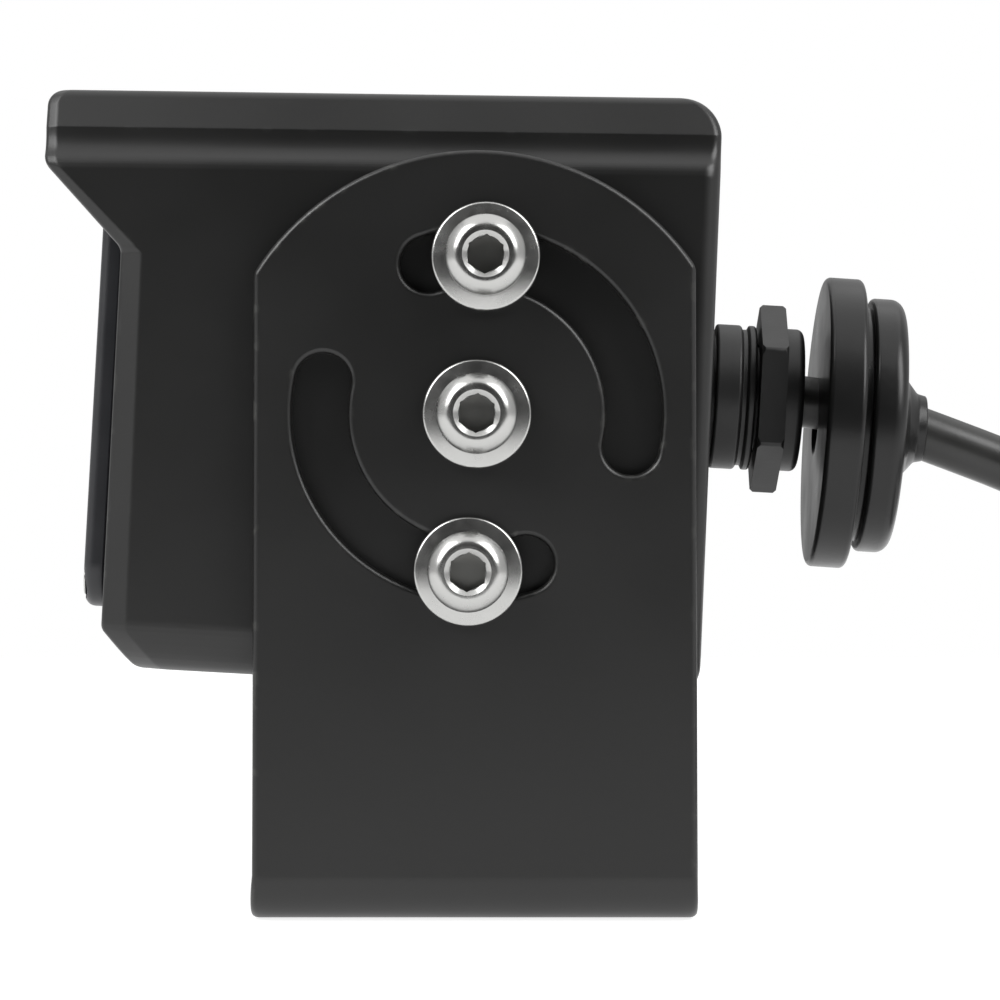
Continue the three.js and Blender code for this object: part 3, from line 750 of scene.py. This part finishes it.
def strip_section():
    half, inner = BRACKET_HALF, BRACKET_HALF - ARM_THICK
    top = 80
    return rounded([
        (-half, 0, BEND_RADIUS), (half, 0, BEND_RADIUS), (half, top), (inner, top),
        (inner, ARM_THICK, BEND_RADIUS - ARM_THICK), (-inner, ARM_THICK, BEND_RADIUS - ARM_THICK),
        (-inner, top), (-half, top),
    ])


def arm_outline(pivot_z):
    foot = [Vector((ARM_FRONT, -1)), Vector((ARM_REAR, -1))]
    return foot + arc(ARM_ARC, math.acos(ARM_REAR / ARM_ARC), math.acos(ARM_FRONT / ARM_ARC), (0, pivot_z))


def slot_outline(turn, pivot_z):
    start, end = SLOT_FROM + turn, SLOT_TO + turn
    caps = []
    for angle, first, last in ((end, end, end + math.pi), (start, start + math.pi, start + 2 * math.pi)):
        centre = (CLAMP_RADIUS * math.cos(angle), pivot_z + CLAMP_RADIUS * math.sin(angle))
        caps.append(arc(SLOT_HALF, first, last, centre)[1:-1])
    outer = arc(CLAMP_RADIUS + SLOT_HALF, start, end, (0, pivot_z))
    inner = arc(CLAMP_RADIUS - SLOT_HALF, end, start, (0, pivot_z))
    return outer + caps[0] + inner + caps[1]


def bracket():
    pivot_z = PIVOT.z / MM
    reach = BRACKET_HALF + 1
    made = prism("bent_bracket", strip_section(), ARM_FRONT - 1, ARM_REAR + 1, "x")
    slots = [slot_outline(turn, pivot_z) for turn in (0, math.pi)]
    tools = [prism("slot", outline, -reach, reach, "y") for outline in slots]
    tools.append(rod("pivot_hole", PIVOT_HOLE / 2, -reach, reach, "y", (0, pivot_z)))
    tools += [rod("base_hole", BASE_HOLE / 2, -1, 3, "z", at) for at in product(*BASE_HOLES)]
    cut(made, *tools)
    combine(made, "INTERSECT", prism("arms", arm_outline(pivot_z), -reach, reach, "y"))
    break_edges(made, EDGE_ROUND, segments=4, clamp=False)
    for vertex in made.data.vertices:
        x, y, z = vertex.co
        near_bend = max(0.0, 1 - z / BEND_TOP) * min(1.0, max(0.0, (abs(y) - BEND_START) / 3))
        near_edge = max(0.0, abs(x) - ARM_REAR + 1)
        vertex.co.x += math.copysign(BEND_SWELL * near_edge * math.sin(near_bend * math.pi / 2), x)
    return finish_piece(made, ON_BRACKET, "bracket", BRACKET_PAINT, ["u_bracket"])


bent_bracket = bracket()
print("bracket", [round(d / MM, 1) for d in bent_bracket.dimensions], "mm")

# %% [markdown]
# ## The housing's outer form
# The housing is one casting: a box with rounded edges whose roof juts forward as a hood. The roof
# falls a little towards the front, and its sides have a chamfered cap over a narrow neck and a
# rounded shoulder. Three crossed extrusions would leave creases at the corners, so the form is lofted:
# level rings follow the end view for their width and the side view for their length. Each ring has a
# narrow facet at its front corners, as the casting has, and a small round at its rear ones.
# %% Housing views
BODY_HALF = 35.7
WALL = 2.5
FRONT_X = -32.1
HOOD_X = -39.2
REAR_X = 20.5
BOTTOM_Z = -24.05
HOOD_LOW_Z = 20
SLANT_Z = 12.9
ROOF_X = 17.2
ROOF_Z = 29.15
ROOF_SLOPE = math.tan(math.radians(2.43))
REAR_CORNER = 1.6
FACET_SLOPE = 0.5
CHIN_Z, CHIN_X = -20.6, -29.0
HOOD_LEAN = 0.35


def roof_at(x):
    return ROOF_Z + (x - ROOF_X) * ROOF_SLOPE


END_VIEW = rounded([
    (0, BOTTOM_Z), (BODY_HALF, BOTTOM_Z, 4.5), (BODY_HALF, ROOF_Z - 6.6, 2.1),
    (BODY_HALF - 1.5, ROOF_Z - 5.1, 2.8), (BODY_HALF - 1.5, ROOF_Z - 3.5, 0.3),
    (BODY_HALF - 3.2, ROOF_Z, 1.2), (0, ROOF_Z),
], closed=False)[1:-1]
FRONT_VIEW = rounded([
    (0, BOTTOM_Z), (CHIN_X, BOTTOM_Z, 1.5), (FRONT_X + 0.1, CHIN_Z, 1.0), (FRONT_X, SLANT_Z, 1.2),
    (HOOD_X, HOOD_LOW_Z, 2.0), (HOOD_X - HOOD_LEAN, roof_at(HOOD_X), 1.5), (0, roof_at(0)),
], closed=False)[1:-1]
REAR_VIEW = rounded([
    (0, BOTTOM_Z), (REAR_X + 0.4, BOTTOM_Z, 3.0), (REAR_X - 0.4, roof_at(REAR_X), 3.6), (0, roof_at(0)),
], closed=False)[1:-1]
print("views of", len(END_VIEW), len(FRONT_VIEW), len(REAR_VIEW), "points")


# %% Housing loft
FIRST_SLOPING = -8.0
ALL_SLOPING = ROOF_Z - 6.7
CORNER_STEPS = 7


def read_view(view, z):
    """The view's distance from the middle at a height."""
    return float(np.interp(z, [p.y for p in view], [p.x for p in view]))


def sink(level, x):
    """Height at x of a ring that is at this level under the rear of the roof: high rings slope with it."""
    share = min(1.0, max(0.0, (level - FIRST_SLOPING) / (ALL_SLOPING - FIRST_SLOPING)))
    return level + (x - ROOF_X) * ROOF_SLOPE * share


def level_for(z, x):
    """The ring's level whose height at x is z."""
    level = z
    for _ in range(8):
        level += z - sink(level, x)
    return level


def end_of_ring(view, level, start_x):
    x = start_x
    for _ in range(8):
        x = read_view(view, sink(level, x))
    return x


def front_facet(z):
    """Length and depth of the facet on a front corner: wide on the wall, narrow along the hood."""
    length = float(np.interp(z, [SLANT_Z - 0.9, SLANT_Z, HOOD_LOW_Z, ROOF_Z], [2.3, 1.5, 1.0, 0.9]))
    return length, length * FACET_SLOPE


def housing_levels():
    levels = [p.y for p in END_VIEW]
    levels += [level_for(p.y, p.x) for p in FRONT_VIEW]
    levels += [level_for(p.y, p.x) for p in REAR_VIEW]
    kept = []
    for level in sorted(min(max(level, BOTTOM_Z), ROOF_Z) for level in levels):
        if not kept or level - kept[-1] > 0.03:
            kept.append(level)
    return kept


def housing_ring(level):
    half = read_view(END_VIEW, level)
    front, rear = end_of_ring(FRONT_VIEW, level, FRONT_X), end_of_ring(REAR_VIEW, level, REAR_X)
    length, depth = front_facet(sink(level, front))
    rear_radius = max(0.8, REAR_CORNER - (BODY_HALF - half) * 0.5)
    side = [(front, depth - half, 0.6), (front + length, -half, 0.8), (rear, -half, rear_radius)]
    corners = side + [(x, -y, radius) for x, y, radius in reversed(side)]
    ring = []
    for i, (x, y, radius) in enumerate(corners):
        before, after = Vector(corners[i - 1][:2]), Vector(corners[(i + 1) % len(corners)][:2])
        ring += arc_of(before, Vector((x, y)), after, radius, steps=CORNER_STEPS)
    return [(x, y, sink(level, x)) for x, y in ring]


def housing_blank():
    rings = [housing_ring(level) for level in housing_levels()]
    count = len(rings[0])
    vertices = [v for ring in rings for v in ring]
    faces = [tuple(range(count)), tuple(range(len(vertices) - count, len(vertices)))]
    for i, k in product(range(len(rings) - 1), range(count)):
        n = (k + 1) % count
        faces.append((i * count + k, i * count + n, (i + 1) * count + n, (i + 1) * count + k))
    print("housing loft:", len(rings), "rings of", count)
    return mesh_object("cast_housing", vertices, faces)


# %% [markdown]
# ## The hollow housing
# Under the hood the casting is cut back to the front wall, and the box is hollow for the boards. The
# front wall has the mouth for the window, with a seat for its gasket, and the rear wall the gland's
# hole. The side walls have bosses with tapped holes for the pivot and clamp screws.
# %% Housing
MOUTH = (-24.6, -13.0, 24.6, 14.3)
AXIS_Z = 3.9
SCREW_HEIGHTS = (0.0, CLAMP_RADIUS, -CLAMP_RADIUS)
WINDOW_HALF, WINDOW_LOW, WINDOW_TOP = 30.5, -18.9, 20.2
FRAME_RAIL = 4.5
SCREW_INSET = 2.6
HOOD_INSIDE = 33.1
ROOM_TOP = 20.6
BOSS_INNER, BOSS_RADIUS = 26.5, 4.2
TAPPED_RADIUS = 2.25
GLAND_HOLE = 12.8
FRAME_MID = (WINDOW_LOW + WINDOW_TOP) / 2
FRAME_SCREWS = [
    (sy * (WINDOW_HALF - SCREW_INSET), FRAME_MID + sz * ((WINDOW_TOP - WINDOW_LOW) / 2 - SCREW_INSET))
    for sz, sy in product((-1, 1), (-1, 1))
]


def pane_outline(grow, radius):
    edge = FRAME_RAIL - 1.3 - grow
    return rectangle(-WINDOW_HALF + edge, WINDOW_LOW + edge, WINDOW_HALF - edge, WINDOW_TOP - edge, radius)


def housing():
    made = housing_blank()
    far, low, under = HOOD_X - 5, BOTTOM_Z - 5, roof_at(FRONT_X) - WALL - 0.6
    hood_space = rounded([(far, low), (FRONT_X, low), (FRONT_X, under, 1.0),
                          (far, under + (far - FRONT_X) * ROOF_SLOPE)])
    cut(made, prism("under_hood", hood_space, -HOOD_INSIDE, HOOD_INSIDE, "y"))
    break_edges(made, 0.4, segments=3, angle=50)
    inside = BODY_HALF - WALL
    room = rectangle(-inside, BOTTOM_Z + WALL, inside, ROOM_TOP, 3)
    cut(made, prism("hollow", room, FRONT_X + WALL, REAR_X - 2.7, "x"))
    for side, z in product((-1, 1), SCREW_HEIGHTS):
        start, end = sorted((side * BOSS_INNER, side * (BODY_HALF - 1)))
        join(made, rod("boss", BOSS_RADIUS, start, end, "y", (0, z)))
    cut(made, prism("mouth", rectangle(*MOUTH, 2), FRONT_X - 1, FRONT_X + WALL + 1, "x"),
        prism("seat", pane_outline(0, 2.5), FRONT_X - 1, FRONT_X + 1, "x"),
        rod("gland_hole", GLAND_HOLE / 2, REAR_X - 5, REAR_X + 5, "x", (0, AXIS_Z)))
    cut(made, *[rod("tapped", TAPPED_RADIUS, *sorted((side * 27, side * (BODY_HALF + 1))), "y", (0, z))
                for side, z in product((-1, 1), SCREW_HEIGHTS)])
    cut(made, *[rod("frame_hole", 1.3, FRONT_X - 1, FRONT_X + 1.9, "x", at, 24) for at in FRAME_SCREWS])
    return finish_piece(made, ON_HEAD, "camera", HOUSING_PAINT, ["housing"], smooth=38)


cast_housing = housing()
print("housing", [round(d / MM, 1) for d in cast_housing.dimensions], "mm")

# %% [markdown]
# ## The window
# A moulded frame stands 2 mm proud of the front wall and holds the smoked pane against its gasket,
# with a small countersunk screw in each corner. The frame is a prism with an opening, and its edges
# are broken as a mould would round them.
# %% Window frame, pane, gasket and screws
FRAME_X = -34.3
FRAME_BACK = FRONT_X - 0.3


def window_frame():
    outside = rectangle(-WINDOW_HALF, WINDOW_LOW, WINDOW_HALF, WINDOW_TOP, 4)
    made = prism("pane_frame", outside, FRAME_X, FRAME_BACK, "x")
    break_edges(made, 0.9, segments=6, angle=60, chosen=lambda middle: middle.x < FRAME_X + 0.01)
    rail = FRAME_RAIL
    sight = rectangle(rail - WINDOW_HALF, WINDOW_LOW + rail, WINDOW_HALF - rail, WINDOW_TOP - rail, 4)
    cut(made, prism("sight", sight, FRAME_X - 1, FRAME_BACK + 1, "x"))
    cut(made, prism("rabbet", pane_outline(0.3, 2.8), FRAME_X + 0.5, FRAME_BACK + 1, "x"))
    break_edges(made, 0.35, angle=40)
    behind = FRAME_BACK + 1
    sunk = [(0, -37), (2, -37), (2, FRAME_X + 0.1), (1.3, FRAME_X + 1), (1.3, behind), (0, behind)]
    cut(made, *[turned("screw_hole", sunk, "x", 32, at) for at in FRAME_SCREWS])
    return finish_piece(made, ON_HEAD, "camera", FRAME_BLACK, ["window_frame"])


def window_pane():
    made = prism("smoked_window", pane_outline(0, 2.5), FRAME_X + 0.8, FRAME_BACK, "x")
    break_edges(made, 0.12, segments=2, angle=40)
    return finish_piece(made, ON_HEAD, "camera", SMOKED, ["front_window"])


def window_gasket():
    made = prism("pane_gasket", pane_outline(-0.3, 2.2), FRONT_X, FRONT_X + 0.7, "x")
    cut(made, prism("inner", pane_outline(-2, 1.6), FRONT_X - 1, FRONT_X + 2, "x"))
    break_edges(made, 0.15, angle=40)
    return finish_piece(made, ON_HEAD, "camera", RUBBER, ["window_gasket"])


def frame_screw(number, at):
    tip = FRONT_X + 1.6
    profile = [(0, FRAME_X), (1.7, FRAME_X, 0.1), (1, FRAME_X + 0.8), (1, tip, 0.2), (0, tip)]
    made = turned(f"small_screw_{number}", profile, "x", 40)
    drive = prism("drive", hexagon(1.4), FRAME_X - 1, FRAME_X + 0.6, "x")
    cut(made, drive)
    made.data.transform(Matrix.Translation((0, *at)))
    return finish_piece(made, ON_HEAD, "camera", STAINLESS, [f"frame_screw_{number}"])


window_frame()
window_pane()
window_gasket()
small_screws = [frame_screw(i + 1, at) for i, at in enumerate(FRAME_SCREWS)]
print("window with", len(small_screws), "screws")

# %% [markdown]
# ## Pivot and clamp screws
# Button head screws with a hexagonal socket, over washers that fall a little towards their rim. The
# head is a low cylinder with a domed top, and the mouth of its socket is chamfered, which is the bright
# ring that a studio light draws round the hexagon. Each screw and washer is turned and then cut.
# %% Screws and washers
WASHER_SEAT = BRACKET_HALF + 0.3
HEAD_SEAT = WASHER_SEAT + 1.3
SOCKET_TOP = HEAD_SEAT + 1.9
SOCKET_DEPTH = 1.75
SOCKET_REACH = 1.74


def washer(name, node, z, side):
    seat, rim, top = WASHER_SEAT, WASHER_SEAT + 0.72, WASHER_SEAT + 1
    profile = [(2.3, seat, 0.1), (4.75, seat, 0.15), (4.75, rim, 0.3), (3.4, top, 2.0), (2.3, top, 0.1)]
    made = turned(name, profile, "y", 96)
    return put_on_side(made, z, side, node)


def dome(edge_radius, edge_height, top_radius, top_height, steps=8):
    """A domed top from its rim up to its flat, as profile points."""
    points = []
    for k in range(steps + 1):
        share = k / steps
        radius = edge_radius + (top_radius - edge_radius) * share
        rise = math.sin(share * math.pi / 2)
        points.append((radius, edge_height + (top_height - edge_height) * rise))
    return points


def side_screw(name, node, z, side):
    top = HEAD_SEAT
    profile = [(0, 28), (1.6, 28, 0.1), (1.95, 28.5, 0.2), (1.95, top), (3.5, top, 0.12)]
    profile += [(3.5, top + 1.62, 0.12), *dome(3.38, top + 1.8, 2.25, top + 2.6), (0, top + 2.6)]
    made = turned(name, profile, "y", 96)
    chamfer = [(0, top + 2.22), (1.6, top + 2.22), (2.15, top + 2.7), (0, top + 2.7)]
    mouth = turned("mouth", chamfer, "y", 64)
    socket = prism("socket", hexagon(3, math.pi / 2), top + 0.2, top + 4, "y")
    cut(made, mouth, socket)
    return paint_socket_shade(put_on_side(made, z, side, node), z)


def paint_socket_shade(screw, z):
    """The hexagon's walls and floor get their own finish: rougher steel, darker in colour as painted shade
    in the recess.
    """
    axis = ON_HEAD @ Vector((0, 0, z))
    # The faces inside the socket get the darker finish: painted shade in the recess.
    screw.data.materials.append(SOCKET_PAINTED_SHADE)
    for face in screw.data.polygons:
        off_axis = math.hypot(face.center.x - axis.x, face.center.z - axis.z)
        depth = SOCKET_TOP - abs(face.center.y) / MM
        if off_axis < SOCKET_REACH * MM and 0 < depth < SOCKET_DEPTH:
            face.material_index = 1
    return screw


def put_on_side(made, z, side, node):
    turn = Matrix.Rotation(math.pi if side == "left" else 0.0, 4, "Z")
    made.data.transform(Matrix.Translation((0, 0, z)) @ turn)
    return finish_piece(made, ON_HEAD, "camera", STAINLESS, [node], flats=False, smooth=28)


SIDE_SCREWS = dict(zip(("pivot", "upper_clamp", "lower_clamp"), SCREW_HEIGHTS))
for side, (label, z) in product(("right", "left"), SIDE_SCREWS.items()):
    washer(f"{label}_flat_washer_{side}", f"{label}_washer_{side}", z, side)
    side_screw(f"{label}_button_screw_{side}", f"{label}_screw_{side}", z, side)
print("side screws and washers: 12")

# %% [markdown]
# ## Cable gland
# A nylon gland seals the cable where it enters: the threaded body sits on a rubber washer, its nut has
# a hexagon and a round cap, and a rubber sleeve inside grips the cable. The round pieces are turned,
# and the nut is a hexagon whose corners are trimmed by a cone, as a moulded nut has them.
# %% Gland
GLAND = (0, AXIS_Z)


def gland():
    wall = REAR_X + 0.1
    seal = turned("gland_sealing_washer", [
        (6.3, wall + 0.3, 0.2), (7.6, wall + 0.3, 0.4), (7.6, wall + 1.5, 0.4), (6.3, wall + 1.5, 0.2),
    ], "x", 96, GLAND)
    finish_piece(seal, ON_HEAD, "camera", RUBBER, ["gland_seal_washer"])
    body = turned("gland_stem", [
        (3.2, 13.8, 0.2), (5.9, 13.8, 0.3), (5.9, wall + 1.8), (7, wall + 1.8, 0.3), (7, wall + 4.2, 0.35),
        (6.6, wall + 4.4, 0.1), (6.6, wall + 4.8, 0.1), (7, wall + 5, 0.2), (7, wall + 5.7, 0.3),
        (5, wall + 5.7, 0.1), (5, 27.6, 0.2), (3.2, 27.6, 0.2),
    ], "x", 96, GLAND)
    finish_piece(body, ON_HEAD, "camera", NYLON, ["gland_body"])
    inner = prism("inner_locknut", hexagon(15.5, 0, 0.4), 14.6, REAR_X - 3, "x")
    cut(inner, rod("bore", 6.2, 13, 20))
    break_edges(inner, 0.2)
    inner.data.transform(Matrix.Translation((0, 0, AXIS_Z)))
    finish_piece(inner, ON_HEAD, "camera", NYLON, ["gland_locknut"])
    nut = prism("gland_cap_nut", hexagon(15.9, math.pi / 2, 0.5), 26.6, 29.1, "x")
    trim = turned("trim", [(0, 26.0), (8.3, 26.0), (9.4, 27.2), (9.4, 28.5), (8.3, 29.7), (0, 29.7)])
    combine(nut, "INTERSECT", trim)
    break_edges(nut, 0.18, angle=25)
    cap = turned("cap", [(0, 27), (6.9, 27), (6.9, 30.9, 0.7), (5.6, 30.9, 0.3), (5.3, 30.2), (0, 30.2)])
    join(nut, cap)
    cut(nut, rod("bore", 5.3, 26, 28.6), rod("throat", 5, 28, 31.5))
    nut.data.transform(Matrix.Translation((0, 0, AXIS_Z)))
    finish_piece(nut, ON_HEAD, "camera", NYLON, ["gland_nut"])
    sleeve = [(2.6, 27.9, 0.1), (4.6, 27.9, 0.2), (4.6, 30.6, 0.4), (2.6, 30.6, 0.3)]
    grip = turned("gland_sleeve", sleeve, "x", 64, GLAND)
    finish_piece(grip, ON_HEAD, "camera", RUBBER, ["gland_seal"])


gland()
print("gland made of 5 pieces")

# %% [markdown]
# ## Behind the window
# The lamp board carries twelve infrared lamps and a light sensor, and a rubber shroud keeps their
# light off the lens. The lens is a threaded barrel with a domed front glass in a square holder. These
# show dimly through the smoked pane. The flat boards of the frame keep their shape and get finishes.
# %% Lamps and lens
LENS_Z = 0.8
LAMP_FRONT = -26.8


def lamp(number, y, z):
    front = LAMP_FRONT
    profile = [
        (0, front), (2.8, front, 0.1), (2.8, front - 0.9, 0.15), (2.4, front - 0.9), (2.4, front - 3.4),
        *dome(2.38, front - 3.5, 0.5, front - 5.25), (0, front - 5.3),
    ]
    made = turned(f"infrared_lamp_{number}", profile, "x", 40, (y, z))
    node = f"ir_led_{number}"
    return finish_piece(made, ON_HEAD, "camera", LAMP_RESIN, [node], flats=False)


def lens():
    at = (0, LENS_Z)
    front, back = FRONT_X + 0.3, -22.6
    sleeve = [(7, front, 0.2), (8.1, front, 0.2), (8.1, back, 0.2), (7, back, 0.2)]
    shroud = turned("light_shroud", sleeve, "x", 96, at)
    finish_piece(shroud, ON_HEAD, "camera", RUBBER, ["lens_shroud"])
    barrel = turned("lens_tube", [
        (0, -17.5), (0, -29.4), (4.5, -29.4), (4.7, -29.9), (4.95, -29.9), (5.05, -30.4), (5.3, -30.4),
        (5.4, -31.2, 0.1), (6.6, -31.2, 0.2), (6.6, -27.8, 0.2), (6, -27.8), (6, -17.5), (0, -17.5),
    ], "x", 96, at)
    finish_piece(barrel, ON_HEAD, "camera", OPTIC_BLACK, ["lens_barrel"])
    bulge = [(0, -29.7), (4.2, -29.7), *dome(4.2, -29.75, 0.3, -31.08), (0, -31.1)]
    glass = turned("front_element", bulge, "x", 64, at)
    finish_piece(glass, ON_HEAD, "camera", LENS_GLASS, ["lens_front_glass"], flats=False)


lamp_places = product((-20.5, -13.5, 13.5, 20.5), (-8.4, 0, 8.4))
lamps = [lamp(i + 1, y, LENS_Z + z) for i, (y, z) in enumerate(lamp_places)]
lens()
print("lamps:", len(lamps))

# %% Finishes for the flat pieces of the frame
CAD_FINISHES = {
    "led_board": (BOARD, "board"),
    "sensor_board": (BOARD, "board"),
    "power_board": (BOARD, "board"),
    "light_sensor": (SENSOR_FACE, "sensor_face"),
    "lens_holder": (OPTIC_BLACK, "optic_black"),
    "image_sensor": (CHIP, "chip"),
    "cable_header": (NYLON, "nylon"),
    **{f"board_standoff_{i}": (BRASS, "standoff_brass") for i in range(1, 5)},
}
for node, (finish, slot) in CAD_FINISHES.items():
    kept = frame["nodes"][node]
    kept.data.materials.clear()
    kept.data.materials.append(finish)
print("frame pieces with new finishes:", len(CAD_FINISHES))

# %% [markdown]
# ## Floor, world and lights
# A plain pale floor under a white studio: the camera sees white behind the object, while the paint
# sees a white tent with a dim opening round the camera. A black satin surface shows its lights more
# than its colour, so their places matter: a wide box over the roof, one high in front on each side,
# which draw the bright lines along the arms' rounded edges, and the floor, which lifts every foot.
# %% Floor and world
TENT_LIGHT, OPENING_LIGHT = 0.8, 0.05
OPENING_RISE, OPENING_INNER, OPENING_OUTER = math.radians(12), math.radians(42), math.radians(68)
FLOOR_GLOW = 0.85


def studio_floor():
    """A pale sheet, short in front so that the walls don't mirror it."""
    side, front, back = 0.8, -0.26, 0.5
    corners = [(-side, front, 0), (side, front, 0), (side, back, 0), (-side, back, 0)]
    floor = mesh_object("studio_floor", corners, [(0, 1, 2, 3)])
    floor.location.z = -0.0001
    white = new_material("floor_white", (0.32, 0.32, 0.32), 0.9, **{"Emission Strength": FLOOR_GLOW})
    shader_of(white).inputs["Emission Color"].default_value = (1, 1, 1, 1)
    grain = noise(white, 0.02, detail=2.0)
    to_shader(white, "Roughness", spread(white, grain, 0.85, 0.95))
    floor.data.materials.append(white)
    floor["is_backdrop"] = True


def studio_world():
    """White to the camera; to the object a white tent with a dim opening where the camera stands."""
    world = bpy.data.worlds.new("studio_world")
    world.use_nodes = True
    nodes, links = world.node_tree.nodes, world.node_tree.links
    seen, tent = nodes["Background"], nodes.new("ShaderNodeBackground")
    seen.inputs["Strength"].default_value = 1.0
    seen.inputs["Color"].default_value = (1, 1, 1, 1)
    kinds = ("TexCoord", "VectorMath", "MapRange")
    way, off_centre, strength = (nodes.new("ShaderNode" + kind) for kind in kinds)
    off_centre.operation = "DOT_PRODUCT"
    off_centre.inputs[1].default_value = (0, -math.cos(OPENING_RISE), math.sin(OPENING_RISE))
    strength.interpolation_type = "SMOOTHSTEP"
    limits = (math.cos(OPENING_OUTER), math.cos(OPENING_INNER), TENT_LIGHT, OPENING_LIGHT)
    for socket, value in zip(("From Min", "From Max", "To Min", "To Max"), limits):
        strength.inputs[socket].default_value = value
    links.new(way.outputs["Generated"], off_centre.inputs[0])
    links.new(off_centre.outputs["Value"], strength.inputs["Value"])
    links.new(strength.outputs["Result"], tent.inputs["Strength"])
    rays, choice = nodes.new("ShaderNodeLightPath"), nodes.new("ShaderNodeMixShader")
    links.new(rays.outputs["Is Camera Ray"], choice.inputs["Fac"])
    links.new(tent.outputs["Background"], choice.inputs[1])
    links.new(seen.outputs["Background"], choice.inputs[2])
    links.new(choice.outputs["Shader"], nodes["World Output"].inputs["Surface"])
    bpy.context.scene.world = world


studio_floor()
studio_world()


# %% Lights
def soft_box(name, at, aim, size, power):
    data = bpy.data.lights.new(name, "AREA")
    data.shape = "RECTANGLE"
    data.size, data.size_y = size
    data.energy = power
    light = bpy.data.objects.new(name, data)
    light.location = at
    light.rotation_euler = (Vector(aim) - Vector(at)).to_track_quat("-Z", "Y").to_euler()
    bpy.context.scene.collection.objects.link(light)


centre = (0, 0, 0.04)
soft_box("top_box", (0, 0.1, 1.0), centre, (1.2, 1.6), 4)
soft_box("left_box", (-0.62, -0.45, 0.62), centre, (0.5, 0.7), 8)
soft_box("right_box", (0.62, -0.45, 0.62), centre, (0.5, 0.7), 7)
bpy.context.scene.view_settings.view_transform = "Standard"

model_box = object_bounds()
growth = (model_box[1] - model_box[0]) - (cad_box[1] - cad_box[0])
print("model grows by", [round(g / MM, 2) for g in growth], "mm")
